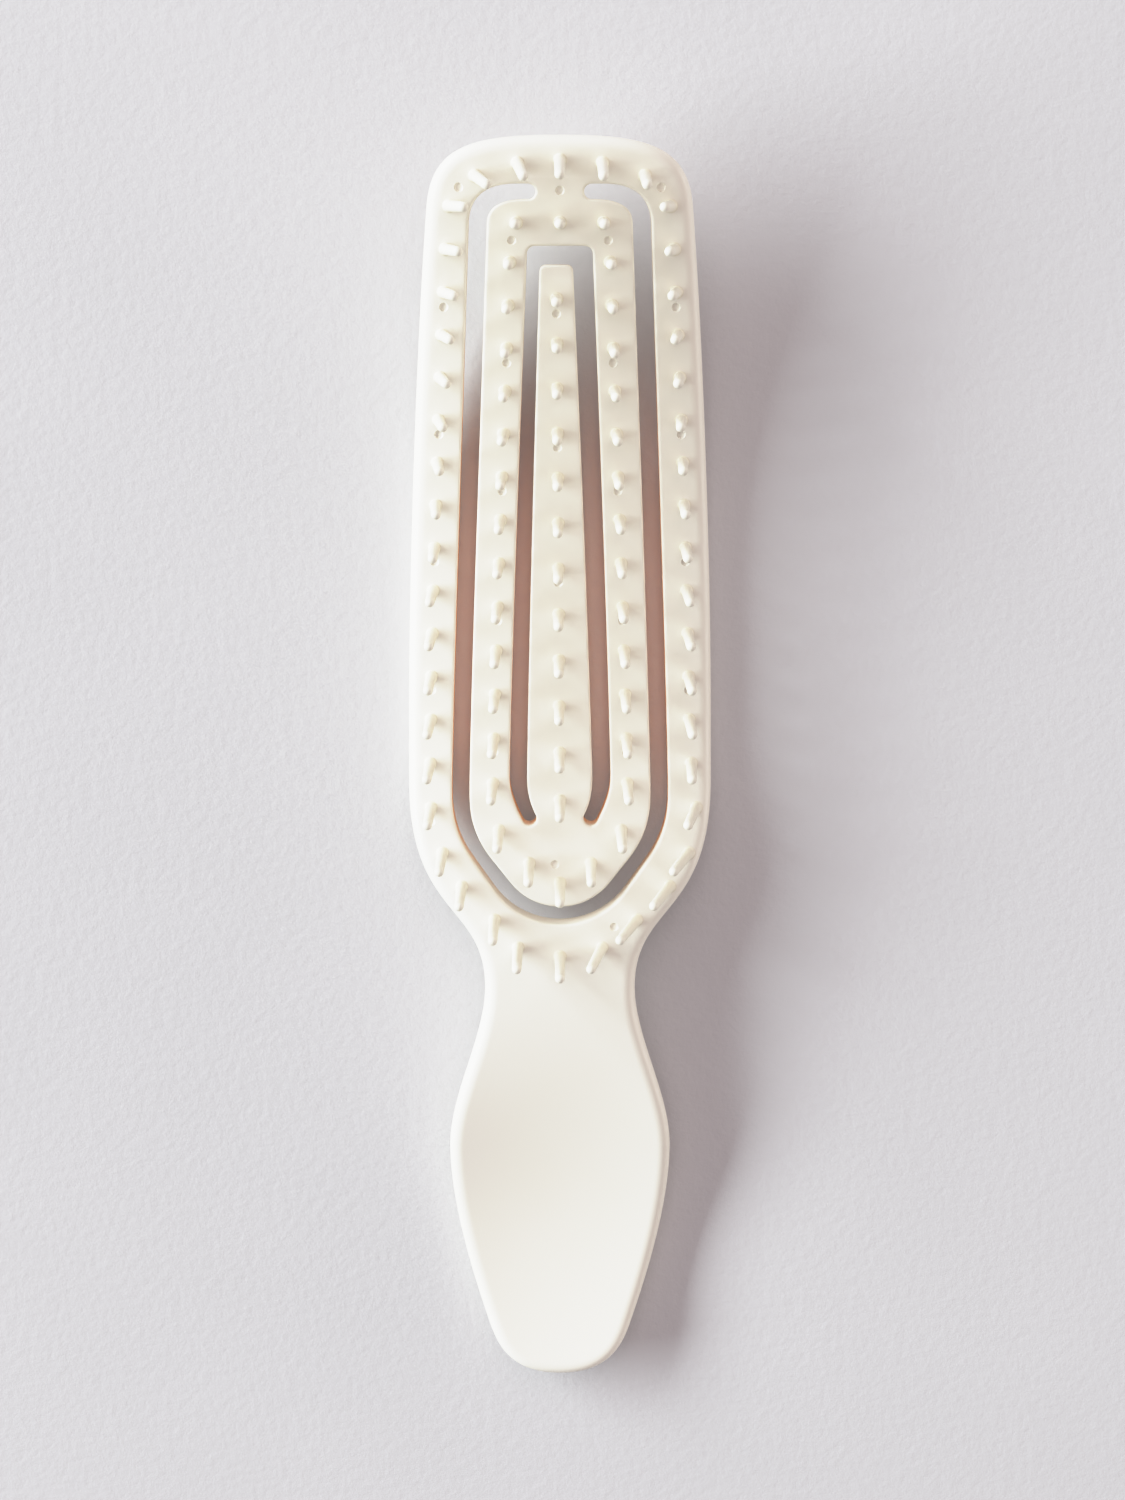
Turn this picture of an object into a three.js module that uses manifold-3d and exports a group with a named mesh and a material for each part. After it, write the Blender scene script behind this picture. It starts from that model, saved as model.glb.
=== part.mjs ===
// Vent brush: one curved plate that two U-shaped slots divide into a frame with its handle,
// a loop inside the frame and a tongue inside the loop, with rows of moulded pins on all three.
// Millimetres. +Y runs to the tip of the head, +X to the right, +Z out of the bristle side.
// The origin lies under the middle of the brush, on the surface that its back rests on.

import * as THREE from 'three';
import { mergeVertices } from 'three/addons/utils/BufferGeometryUtils.js';
import Module from 'manifold-3d';

// Driving dimensions: the whole plate
const LENGTH = 222;
const PLATE = 4.5;
const RIM_ROUND = 2;
const RIM_SHARE = 0.45;
const CLEARANCE = 0.3;

// Outline of the head, as half widths and places along Y
const CROWN_HALF = 22;
const CROWN_DEPTH = 11.5;
const CROWN_FLAT = 14.3;
const CROWN_CORNER = 9.8;
const HEAD_FLARE = 0.1;
const HEAD_HALF = 26.6;
const HEAD_WIDE_Y = 0;
const HEAD_SIDE_TOP = 20;
const HEAD_SIDE_BOTTOM = 40;
const SHOULDER_TOP = 23.5;
const SHOULDER_BOTTOM = 15;

// Outline of the neck and the handle
const NECK_HALF = 13.25;
const NECK_Y = -36;
const NECK_BOTTOM = 9.4;
const HANDLE_HALF = 19.85;
const HANDLE_WIDE_Y = -67.2;
const HANDLE_TOP = 10.4;
const HANDLE_BOTTOM = 11.1;
const END_HALF = 12.9;
const END_DEPTH = 9;
const END_TAPER = 0.35;
const END_SIDE = 11.4;
const END_CORNER = 3.8;
const END_FLAT = 9.2;

// Frame window, the slots and the loop between them
const RAIL_WIDTH = 7.6;
const CROWN_RAIL_WIDTH = 7;
const CROWN_BAND = 7.8;
const WINDOW_BOTTOM_Y = -24.4;
const WINDOW_SIDE_BOW = 1.2;
const WINDOW_CORNER_X = 8;
const WINDOW_CORNER_Y = 7;
const CHIN_RADIUS = 14.3;
const CHIN_CORNER_Y = -8.3;
const CHIN_CORNER = 6;
const OUTER_SLOT = 3.1;
const CROWN_SLOT = 2.5;
const BRIDGE_HALF = 4;
const LOOP_RAIL = 7;
const LOOP_BAND = 7.6;
const LOOP_CORNER_X = 6.5;
const LOOP_CORNER_Y = 4;
const INNER_SLOT = 3.15;
const INNER_SLOT_TOP = 2.75;
const LOOP_WINDOW_CORNER = 1.6;
const TONGUE_TOP_HALF = 2.4;
const TONGUE_CORNER = 1.3;
const TONGUE_SET = 0.6;
const HOOK_START_Y = 0.9;
const HOOK_END_Y = -6;
const HOOK_INWARD = 1.9;
const HOOK_RADIUS = 1.3;
const HOOK_ANGLE = 28;
const TONGUE_WEB = 1.4;

// Side view: the back touches the table under the head and near the handle's end
const FLAT_Y = 23.5;
const FLAT_LENGTH = 20;
const HEAD_ARC = 218;
const CREST_Y = -36;
const CREST_RISE = 6.5;
const HANDLE_LOW_Y = -86;
const END_RISE = 4;
const DISH_DEPTH = 1.3;

// Pins, and the slice of backing that each row shares
const PIN_BASE_RADIUS = 1.05;
const PIN_TIP_RADIUS = 0.9;
const PIN_LENGTH = 14;
const PIN_SIDES = 8;
const PIN_ROOT = 0.4;
const SLICE_HALF = 1.3;
const SLICE_DEPTH = 0.6;

// Rows of pins: how many, how far from the edges, and how far they lean
const PIN_CROWDING = 0.055;
const CROWN_PINS = 5;
const CROWN_PIN_PITCH = 6.95;
const CROWN_PIN_INSET = 4;
const CROWN_PIN_DROP = 1.2;
const CROWN_LEAN = 10;
const CROWN_CORNER_LEAN = 6;
const CROWN_SIDE_LEAN = 10;
const RAIL_PINS = 16;
const RAIL_PIN_TOP = 11.4;
const RAIL_PIN_BOTTOM_Y = -11.9;
const SHOULDER_PINS = 2;
const SHOULDER_PIN_PITCH = 5.8;
const LEFT_LEAN = 12.5;
const RIGHT_LEAN = 6.5;
const LEAN_FADE = 65;
const NECK_LEAN = 14;
const NECK_LEAN_Y = 6;
const NECK_LEAN_RUN = 16;
const NECK_PIN_SHIFT = 2;
const THROAT_PINS = 3;
const THROAT_PIN_PITCH = 7.4;
const THROAT_PIN_INSET = 5.6;
const THROAT_PIN_RISE = 1.6;
const THROAT_LEAN = 9;
const LOOP_CROWN_PINS = 3;
const LOOP_CROWN_PITCH = 7.2;
const LOOP_SIDE_PINS = 13;
const LOOP_PIN_TOP = 10.3;
const LOOP_PIN_BOTTOM_Y = 0.1;
const LOOP_PIN_SHIFT = 0.6;
const CHIN_SIDE_PINS = 2;
const CHIN_PIN_TOP_Y = -8;
const CHIN_PIN_PITCH = 5.7;
const CHIN_PIN_INSET = 4.2;
const CHIN_PIN_CLOSING = 1.9;
const TONGUE_PINS = 12;
const TONGUE_PIN_TOP = 5.6;
const TONGUE_PIN_BOTTOM = 2.5;

// How finely curves are followed
const CURVE_STEPS = 7;
const SMALL_CURVE_STEPS = 4;
const SIDE_STEPS = 8;
const RIM_STEPS = 2;
const PIN_TIP_STEPS = 2;
const CHORD_ERROR = 0.15;
const SLIVER_HEIGHT = 0.02;

// Places that follow from the driving dimensions
const TIP_Y = LENGTH / 2;
const END_Y = -LENGTH / 2;
const CROWN_Y = TIP_Y - CROWN_DEPTH;
const WINDOW_TOP_Y = TIP_Y - CROWN_BAND;
const WINDOW_HALF = HEAD_HALF - RAIL_WIDTH;
const WINDOW_TOP_HALF = CROWN_HALF - CROWN_RAIL_WIDTH;
const LOOP_TOP_Y = WINDOW_TOP_Y - CROWN_SLOT;
const LOOP_BOTTOM_Y = WINDOW_BOTTOM_Y + OUTER_SLOT;
const LOOP_WINDOW_TOP_Y = LOOP_TOP_Y - LOOP_BAND;
const TONGUE_HALF = WINDOW_HALF - OUTER_SLOT - LOOP_RAIL - INNER_SLOT;
const TONGUE_TOP_Y = LOOP_WINDOW_TOP_Y - INNER_SLOT;
const HOOK_X = TONGUE_HALF + INNER_SLOT / 2 - HOOK_INWARD;
const ROOT_Y = HOOK_END_Y - HOOK_RADIUS;
const WEB_TOP_Y = ROOT_Y + CLEARANCE + TONGUE_WEB;
const TONGUE_BOTTOM_Y = WEB_TOP_Y + CLEARANCE;
const CUT_REACH = LENGTH;

const CREAM = 0xefe8d6;
const PALE_CREAM = 0xf6f3ea;

const wasm = await Module();
wasm.setup();

// Side view and dish

function ease(share) {
  return (1 - Math.cos(Math.PI * share)) / 2;
}

function backHeight(y) {
  const flatTop = FLAT_Y + FLAT_LENGTH / 2;
  const flatBottom = FLAT_Y - FLAT_LENGTH / 2;
  if (y >= flatTop) return HEAD_ARC - Math.sqrt(HEAD_ARC ** 2 - (y - flatTop) ** 2);
  if (y >= flatBottom) return 0;
  if (y >= CREST_Y) return CREST_RISE * ease((flatBottom - y) / (flatBottom - CREST_Y));
  if (y >= HANDLE_LOW_Y) return CREST_RISE * ease((y - HANDLE_LOW_Y) / (CREST_Y - HANDLE_LOW_Y));
  return END_RISE * ((HANDLE_LOW_Y - y) / (HANDLE_LOW_Y - END_Y)) ** 2;
}

// The handle is dished across its width, from nothing at the crest to full depth at its widest
function dishHeight(x, y) {
  const share = THREE.MathUtils.clamp((CREST_Y - y) / (CREST_Y - HANDLE_WIDE_Y), 0, 1);
  return DISH_DEPTH * ease(share) * (x / HANDLE_HALF) ** 2;
}

function lift(x, y) {
  return backHeight(y) + dishHeight(x, y);
}

// Outlines, each as the right half from its top on the axis to its bottom on the axis

function bodyHalf() {
  const path = new THREE.Path();
  path.moveTo(0, TIP_Y);
  path.bezierCurveTo(
    CROWN_FLAT, TIP_Y,
    CROWN_HALF - HEAD_FLARE * CROWN_CORNER, CROWN_Y + CROWN_CORNER,
    CROWN_HALF, CROWN_Y,
  );
  path.bezierCurveTo(
    CROWN_HALF + HEAD_FLARE * HEAD_SIDE_TOP, CROWN_Y - HEAD_SIDE_TOP,
    HEAD_HALF, HEAD_WIDE_Y + HEAD_SIDE_BOTTOM,
    HEAD_HALF, HEAD_WIDE_Y,
  );
  path.bezierCurveTo(
    HEAD_HALF, HEAD_WIDE_Y - SHOULDER_TOP,
    NECK_HALF, NECK_Y + SHOULDER_BOTTOM,
    NECK_HALF, NECK_Y,
  );
  path.bezierCurveTo(
    NECK_HALF, NECK_Y - NECK_BOTTOM,
    HANDLE_HALF, HANDLE_WIDE_Y + HANDLE_TOP,
    HANDLE_HALF, HANDLE_WIDE_Y,
  );
  const endTop = END_Y + END_DEPTH;
  path.bezierCurveTo(
    HANDLE_HALF, HANDLE_WIDE_Y - HANDLE_BOTTOM,
    END_HALF + END_TAPER * END_SIDE, endTop + END_SIDE,
    END_HALF, endTop,
  );
  path.bezierCurveTo(
    END_HALF - END_TAPER * END_CORNER, endTop - END_CORNER,
    END_FLAT, END_Y,
    0, END_Y,
  );
  return path.getPoints(CURVE_STEPS);
}

// Half widths on the long sides, which narrow from the widest place of the head to the crown

function narrowing(half, topHalf, y) {
  const share = Math.max(0, (y - HEAD_WIDE_Y) / (CROWN_Y - HEAD_WIDE_Y));
  return half - (half - topHalf) * share ** WINDOW_SIDE_BOW;
}

function windowSide(y) {
  return narrowing(WINDOW_HALF, WINDOW_TOP_HALF, y);
}

function loopSide(y) {
  return windowSide(y) - OUTER_SLOT;
}

function tongueSide(y) {
  return narrowing(TONGUE_HALF, TONGUE_TOP_HALF, y);
}

function loopWindowSide(y) {
  return tongueSide(y) + narrowing(INNER_SLOT, INNER_SLOT_TOP, y);
}

// Top edge, corner and side of a pad whose half width along Y is given as a function
function startPad(side, topY, cornerX, cornerY, sideBottomY) {
  const sideTopY = topY - cornerY;
  const sideTop = side(sideTopY);
  const path = new THREE.Path();
  path.moveTo(0, topY);
  path.lineTo(sideTop - cornerX, topY);
  path.quadraticCurveTo(sideTop, topY, sideTop, sideTopY);
  for (let step = 1; step <= SIDE_STEPS; step++) {
    const y = sideTopY + (sideBottomY - sideTopY) * step / SIDE_STEPS;
    path.lineTo(side(y), y);
  }
  return path;
}

// A pad with a pointed, rounded chin: the frame window, or the loop that lies inside it
function chinPadHalf(side, inset, topY, cornerX, cornerY) {
  const half = WINDOW_HALF - inset;
  const radius = CHIN_RADIUS - inset;
  const centreY = WINDOW_BOTTOM_Y + CHIN_RADIUS;
  const cornerDistance = Math.hypot(half, CHIN_CORNER_Y - centreY);
  const tangent = Math.atan2(CHIN_CORNER_Y - centreY, half) - Math.acos(radius / cornerDistance);
  const corner = new THREE.Vector2(half, CHIN_CORNER_Y);
  const touch = new THREE.Vector2(radius * Math.cos(tangent), centreY + radius * Math.sin(tangent));
  const afterCorner = touch.clone().sub(corner).setLength(CHIN_CORNER).add(corner);
  const path = startPad(side, topY, cornerX, cornerY, CHIN_CORNER_Y + CHIN_CORNER);
  path.quadraticCurveTo(corner.x, corner.y, afterCorner.x, afterCorner.y);
  path.lineTo(touch.x, touch.y);
  path.absarc(0, centreY, radius, tangent, -Math.PI / 2, true);
  return path.getPoints(CURVE_STEPS);
}

// Where one edge of the inner slot meets its hooked, rounded end; facing is 1 outside and -1 inside
function hookEdge(path, side, facing) {
  const angle = THREE.MathUtils.degToRad(HOOK_ANGLE);
  const touchX = HOOK_X + facing * HOOK_RADIUS * Math.cos(angle);
  const touchY = HOOK_END_Y - facing * HOOK_RADIUS * Math.sin(angle);
  const sideX = side(HOOK_START_Y);
  const bendY = touchY + (sideX - touchX) / Math.tan(angle);
  path.quadraticCurveTo(sideX, bendY, touchX, touchY);
}

function loopWindowHalf() {
  const angle = THREE.MathUtils.degToRad(HOOK_ANGLE);
  const path = startPad(
    loopWindowSide, LOOP_WINDOW_TOP_Y, LOOP_WINDOW_CORNER, LOOP_WINDOW_CORNER, HOOK_START_Y,
  );
  hookEdge(path, loopWindowSide, 1);
  path.absarc(HOOK_X, HOOK_END_Y, HOOK_RADIUS, -angle, -Math.PI / 2, true);
  path.lineTo(0, ROOT_Y);
  return path.getPoints(SMALL_CURVE_STEPS);
}

function tongueHalf() {
  const angle = THREE.MathUtils.degToRad(HOOK_ANGLE);
  const path = startPad(tongueSide, TONGUE_TOP_Y, TONGUE_CORNER, TONGUE_CORNER, HOOK_START_Y);
  hookEdge(path, tongueSide, -1);
  path.absarc(HOOK_X, HOOK_END_Y, HOOK_RADIUS, Math.PI - angle, Math.PI * 1.5, false);
  path.lineTo(0, ROOT_Y);
  return path.getPoints(SMALL_CURVE_STEPS);
}

// The free end of the tongue stands over to the left, in step with its distance from the root
function tongueSet(y) {
  return -TONGUE_SET * Math.max(0, (y - ROOT_Y) / (TONGUE_TOP_Y - ROOT_Y));
}

// The bridge left between the two round ends of the outer slot
function bridgeHalf() {
  const radius = CROWN_SLOT / 2;
  const path = new THREE.Path();
  path.moveTo(0, WINDOW_TOP_Y);
  path.absarc(BRIDGE_HALF + radius, WINDOW_TOP_Y - radius, radius, Math.PI / 2, Math.PI * 1.5, false);
  path.lineTo(0, LOOP_TOP_Y);
  return path.getPoints(SMALL_CURVE_STEPS);
}

function mirrored(half) {
  const left = half.filter((point) => point.x > 0);
  left.reverse();
  return new THREE.Shape([...half, ...left.map((point) => new THREE.Vector2(-point.x, point.y))]);
}

// An outline moved sideways by a shift that depends on the place along Y
function shifted(shape, shift) {
  return new THREE.Shape(shape.getPoints().map(({ x, y }) => new THREE.Vector2(x + shift(y), y)));
}

// Half width of an outline at a place along Y, or 0 past its ends
function halfAt(half, y) {
  for (let i = 1; i < half.length; i++) {
    const [above, below] = [half[i - 1], half[i]];
    if (y <= above.y && y > below.y) {
      return THREE.MathUtils.mapLinear(y, above.y, below.y, above.x, below.x);
    }
  }
  return 0;
}

// Top edge of an outline at a place along X
function topAt(half, x) {
  for (let i = 1; i < half.length; i++) {
    const [inner, outer] = [half[i - 1], half[i]];
    if (x >= inner.x && x < outer.x) {
      return THREE.MathUtils.mapLinear(x, inner.x, outer.x, inner.y, outer.y);
    }
  }
  return half[0].y;
}

// Solids

function solidFrom(points, triangles) {
  const mesh = new wasm.Mesh({
    numProp: 3,
    vertProperties: new Float32Array(points.flat()),
    triVerts: new Uint32Array(triangles),
  });
  return new wasm.Manifold(mesh);
}

// Corners and triangles of a closed geometry, with shared corners merged and folded triangles dropped
function welded(geometry) {
  const bare = geometry.clone();
  bare.deleteAttribute('normal');
  bare.deleteAttribute('uv');
  const merged = mergeVertices(bare);
  const place = merged.getAttribute('position');
  const points = [];
  for (let i = 0; i < place.count; i++) points.push([place.getX(i), place.getY(i), place.getZ(i)]);
  const triangles = [];
  for (let i = 0; i < merged.index.count; i += 3) {
    const corners = [0, 1, 2].map((k) => merged.index.getX(i + k));
    if (new Set(corners).size === 3) triangles.push(corners);
  }
  return { points, triangles };
}

function straight(geometry) {
  const { points, triangles } = welded(geometry);
  return solidFrom(points, triangles.flat());
}

// Raises a flat solid to the brush's side view, splitting each edge that would cut across the curve
function bent(geometry) {
  const { points, triangles } = welded(geometry);
  const middles = new Map();
  const edgeName = (p, q) => `${Math.min(p, q)},${Math.max(p, q)}`;
  const between = (p, q, share) => points[p].map((value, k) => value + (points[q][k] - value) * share);
  const bows = ([p, q]) => [0.25, 0.5, 0.75].some((share) => {
    const [x, y] = between(p, q, share);
    const ends = [lift(...points[p]), lift(...points[q])];
    return Math.abs(lift(x, y) - THREE.MathUtils.lerp(...ends, share)) > CHORD_ERROR;
  });
  const isSplit = ([p, q]) => middles.has(edgeName(p, q));
  const span = ([p, q]) => Math.hypot(points[p][0] - points[q][0], points[p][1] - points[q][1]);
  const middle = (p, q) => {
    const name = edgeName(p, q);
    if (!middles.has(name)) {
      middles.set(name, points.length);
      points.push(between(Math.min(p, q), Math.max(p, q), 0.5));
    }
    return middles.get(name);
  };
  const isSliver = (corners) => {
    const triangle = new THREE.Triangle(...corners.map((i) => new THREE.Vector3(...points[i])));
    const { a, b, c } = triangle;
    return 2 * triangle.getArea() < SLIVER_HEIGHT * Math.max(a.distanceTo(b), b.distanceTo(c), c.distanceTo(a));
  };
  const edgesOf = ([a, b, c]) => [[a, b, c], [b, c, a], [c, a, b]];
  let kept = [];
  let pending = [...triangles];
  while (pending.length > 0) {
    const corners = pending.pop();
    const edges = edgesOf(corners);
    const bowed = edges.filter((edge) => isSplit(edge) || bows(edge));
    if (bowed.length === 0) {
      kept.push(corners);
    } else {
      // A sliver is split at its longest edge, because the others would only make more slivers
      const choice = isSliver(corners) ? edges : bowed;
      choice.sort((one, other) => span(other) - span(one));
      const [p, q, r] = choice[0];
      const m = middle(p, q);
      pending.push([p, m, r], [m, q, r]);
    }
    // A neighbour that was kept is taken up again if one of its edges has been split since
    if (pending.length === 0) {
      pending = kept.filter((triangle) => edgesOf(triangle).some(isSplit));
      kept = kept.filter((triangle) => !edgesOf(triangle).some(isSplit));
    }
  }
  return solidFrom(points.map(([x, y, z]) => [x, y, z + lift(x, y)]), kept.flat());
}

function slab(shape, fromZ, toZ) {
  const geometry = new THREE.ExtrudeGeometry(shape, { depth: toZ - fromZ, bevelEnabled: false });
  return geometry.translate(0, 0, fromZ);
}

function plate(shape) {
  return bent(slab(shape, 0, PLATE));
}

function roundedPlate(shape) {
  const round = Math.min(RIM_ROUND, PLATE * RIM_SHARE);
  const geometry = new THREE.ExtrudeGeometry(shape, {
    depth: PLATE - 2 * round,
    bevelThickness: round,
    bevelSize: round,
    bevelOffset: -round,
    bevelSegments: RIM_STEPS,
  });
  return bent(geometry.translate(0, 0, round));
}

// Upright cutters, which stay upright because the plate is only raised and never turned

function prism(shape) {
  return straight(slab(shape, -CUT_REACH, CUT_REACH));
}

function zone(fromY, toY) {
  const box = new THREE.BoxGeometry(2 * CUT_REACH, toY - fromY, 2 * CUT_REACH);
  return straight(box.translate(0, (fromY + toY) / 2, 0));
}

// Rows of pins

// Places from one value to another, both included, set a little closer at the start
function spread(from, to, count) {
  return Array.from({ length: count }, (_, i) => {
    const share = i / (count - 1);
    return from + (to - from) * share * (1 - PIN_CROWDING * (1 - share));
  });
}

// Places at a fixed pitch on both sides of the axis
function centred(count, pitch) {
  return Array.from({ length: count }, (_, i) => (i - (count - 1) / 2) * pitch);
}

// Lean of a pin at a shoulder, in degrees towards the axis; it fades out down the side
function shoulderLean(most, y) {
  return most * THREE.MathUtils.clamp((y - CROWN_Y + LEAN_FADE) / LEAN_FADE, 0, 1);
}

// Share of the lean near the neck, which sets in down the side
function neckShare(y) {
  return THREE.MathUtils.clamp((NECK_LEAN_Y - y) / NECK_LEAN_RUN, 0, 1);
}

// A tapered pin with a domed tip
function pinSolid({ x, y, leanX = 0, leanY = 0 }) {
  const profile = [new THREE.Vector2(0, -PIN_ROOT), new THREE.Vector2(PIN_BASE_RADIUS, -PIN_ROOT)];
  const domeHeight = PIN_LENGTH - PIN_TIP_RADIUS;
  for (let step = 0; step < PIN_TIP_STEPS; step++) {
    const angle = Math.PI / 2 * step / PIN_TIP_STEPS;
    const radius = PIN_TIP_RADIUS * Math.cos(angle);
    profile.push(new THREE.Vector2(radius, domeHeight + PIN_TIP_RADIUS * Math.sin(angle)));
  }
  profile.push(new THREE.Vector2(0, PIN_LENGTH));
  const pin = new THREE.LatheGeometry(profile, PIN_SIDES);
  pin.rotateX(Math.PI / 2);
  pin.rotateY(THREE.MathUtils.degToRad(leanX));
  pin.rotateX(THREE.MathUtils.degToRad(-leanY));
  pin.translate(x, y, PLATE + lift(x, y));
  return straight(pin);
}

// A band along a row of places, which runs past its end places by its own half width
function bandShape(row, half) {
  const places = row.map(({ x, y }) => new THREE.Vector2(x, y));
  const left = [];
  const right = [];
  places.forEach((place, i) => {
    const before = places[Math.max(i - 1, 0)];
    const after = places[Math.min(i + 1, places.length - 1)];
    const along = after.clone().sub(before).setLength(half);
    const across = new THREE.Vector2(-along.y, along.x);
    const centre = place.clone();
    if (i === 0) centre.sub(along);
    if (i === places.length - 1) centre.add(along);
    left.push(centre.clone().add(across));
    right.push(centre.clone().sub(across));
  });
  return new THREE.Shape([...left, ...right.reverse()]);
}

// Cuts a row's slice of backing out of its carrier, with clearance, and sets the pins on the slice
function plantRow(carrier, row) {
  const reach = PLATE + RIM_ROUND;
  const pocket = bent(slab(bandShape(row, SLICE_HALF + CLEARANCE), PLATE - SLICE_DEPTH - CLEARANCE, reach));
  const core = bent(slab(bandShape(row, SLICE_HALF), PLATE - SLICE_DEPTH, reach));
  const slice = carrier.intersect(core);
  const pins = row.reduce((joined, place) => joined.add(pinSolid(place)), slice);
  return { carrier: carrier.subtract(pocket), pins };
}

// Sub-parts

const body = bodyHalf();
const windowEdge = chinPadHalf(windowSide, 0, WINDOW_TOP_Y, WINDOW_CORNER_X, WINDOW_CORNER_Y);
const loopEdge = chinPadHalf(loopSide, OUTER_SLOT, LOOP_TOP_Y, LOOP_CORNER_X, LOOP_CORNER_Y);
const loopWindowEdge = loopWindowHalf();

function crownRow() {
  const reach = CROWN_PIN_PITCH * (CROWN_PINS - 1) / 2;
  return centred(CROWN_PINS, CROWN_PIN_PITCH).map((x) => {
    const outward = (x / reach) ** 2;
    return {
      x,
      y: topAt(body, Math.abs(x)) - CROWN_PIN_INSET - CROWN_PIN_DROP * outward,
      leanX: Math.max(0, -x / reach) * CROWN_SIDE_LEAN,
      leanY: -THREE.MathUtils.lerp(CROWN_LEAN, CROWN_CORNER_LEAN, outward),
    };
  });
}

// Near the neck the pins of one rail can stand further out and lean back in
function railRow(side, most, neckLean, neckShift) {
  const straightRun = spread(TIP_Y - RAIL_PIN_TOP, RAIL_PIN_BOTTOM_Y, RAIL_PINS);
  const bendRun = Array.from(
    { length: SHOULDER_PINS },
    (_, i) => RAIL_PIN_BOTTOM_Y - SHOULDER_PIN_PITCH * (i + 1),
  );
  return [...straightRun, ...bendRun].map((y) => ({
    x: side * ((halfAt(body, y) + halfAt(windowEdge, y)) / 2 + neckShift * neckShare(y)),
    y,
    leanX: -side * (shoulderLean(most, y) + neckLean * neckShare(y)),
  }));
}

function throatRow() {
  return centred(THROAT_PINS, THROAT_PIN_PITCH).map((x) => ({
    x,
    y: WINDOW_BOTTOM_Y - THROAT_PIN_INSET + THROAT_PIN_RISE * (x / THROAT_PIN_PITCH) ** 2,
    leanX: -Math.max(0, x / THROAT_PIN_PITCH) * THROAT_LEAN,
  }));
}

function loopCrownRow() {
  return centred(LOOP_CROWN_PINS, LOOP_CROWN_PITCH).map((x) => ({ x, y: LOOP_TOP_Y - LOOP_BAND / 2 }));
}

function loopSideRow(side) {
  return spread(LOOP_TOP_Y - LOOP_PIN_TOP, LOOP_PIN_BOTTOM_Y, LOOP_SIDE_PINS).map((y) => ({
    x: side * ((loopSide(y) + loopWindowSide(y)) / 2 - LOOP_PIN_SHIFT),
    y,
  }));
}

function loopChinRow() {
  const right = Array.from({ length: CHIN_SIDE_PINS }, (_, i) => {
    const y = CHIN_PIN_TOP_Y - CHIN_PIN_PITCH * i;
    return { x: halfAt(loopEdge, y) - CHIN_PIN_INSET - CHIN_PIN_CLOSING * i, y };
  });
  const left = right.map(({ x, y }) => ({ x: -x, y })).reverse();
  return [...right, { x: 0, y: LOOP_BOTTOM_Y + CHIN_PIN_INSET }, ...left];
}

function tongueRow() {
  const [top, bottom] = [TONGUE_TOP_Y - TONGUE_PIN_TOP, TONGUE_BOTTOM_Y + TONGUE_PIN_BOTTOM];
  return spread(top, bottom, TONGUE_PINS).map((y) => ({ x: tongueSet(y), y }));
}

const brush = new THREE.Group();

function addNode(name, solid, color) {
  const mesh = solid.getMesh();
  const geometry = new THREE.BufferGeometry();
  geometry.setAttribute('position', new THREE.BufferAttribute(mesh.vertProperties, 3));
  geometry.setIndex(new THREE.BufferAttribute(mesh.triVerts, 1));
  geometry.computeVertexNormals();
  const material = new THREE.MeshStandardMaterial({ color, roughness: 0.45, metalness: 0 });
  const node = new THREE.Mesh(geometry, material);
  node.name = name;
  brush.add(node);
}

// Adds a carrier and its rows of pins, given as a list of names with their places
function addCarrier(name, blank, rows) {
  let carrier = blank;
  for (const [rowName, row] of rows) {
    const planted = plantRow(carrier, row);
    carrier = planted.carrier;
    addNode(rowName, planted.pins, PALE_CREAM);
  }
  addNode(name, carrier, CREAM);
}

addCarrier('handle_frame', roundedPlate(mirrored(body)).subtract(prism(mirrored(windowEdge))), [
  ['crown_pins', crownRow()],
  ['left_rail_pins', railRow(-1, LEFT_LEAN, 0, 0)],
  ['right_rail_pins', railRow(1, RIGHT_LEAN, NECK_LEAN, NECK_PIN_SHIFT)],
  ['throat_pins', throatRow()],
]);

addCarrier('inner_loop', plate(mirrored(loopEdge)).subtract(prism(mirrored(loopWindowEdge))), [
  ['loop_crown_pins', loopCrownRow()],
  ['loop_left_pins', loopSideRow(-1)],
  ['loop_right_pins', loopSideRow(1)],
  ['loop_chin_pins', loopChinRow()],
]);

const tongueBlank = plate(shifted(mirrored(tongueHalf()), tongueSet));
addCarrier('centre_tongue', tongueBlank.intersect(zone(TONGUE_BOTTOM_Y, TIP_Y)), [
  ['tongue_pins', tongueRow()],
]);

// The necks that the loop and the tongue bend at
const bridge = plate(mirrored(bridgeHalf()));
addNode('loop_hinge_web', bridge.intersect(zone(LOOP_TOP_Y + CLEARANCE, WINDOW_TOP_Y - CLEARANCE)), CREAM);
addNode('tongue_hinge_web', tongueBlank.intersect(zone(ROOT_Y + CLEARANCE, WEB_TOP_Y)), CREAM);

export default brush;
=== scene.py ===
"""Vent brush: a wave-bent plate that two U-shaped slots divide into a frame, a loop and a tongue.

Rows of moulded pins stand on all three. Outlines are worked out in millimetres and made in metres.
"""

import math

import bpy
import numpy as np
from bpy.props import FloatProperty, FloatVectorProperty, IntProperty, PointerProperty
from bpy.types import Operator, Panel, PropertyGroup
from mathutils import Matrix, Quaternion, Vector
from mathutils.geometry import delaunay_2d_cdt
from mathutils.kdtree import KDTree


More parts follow.
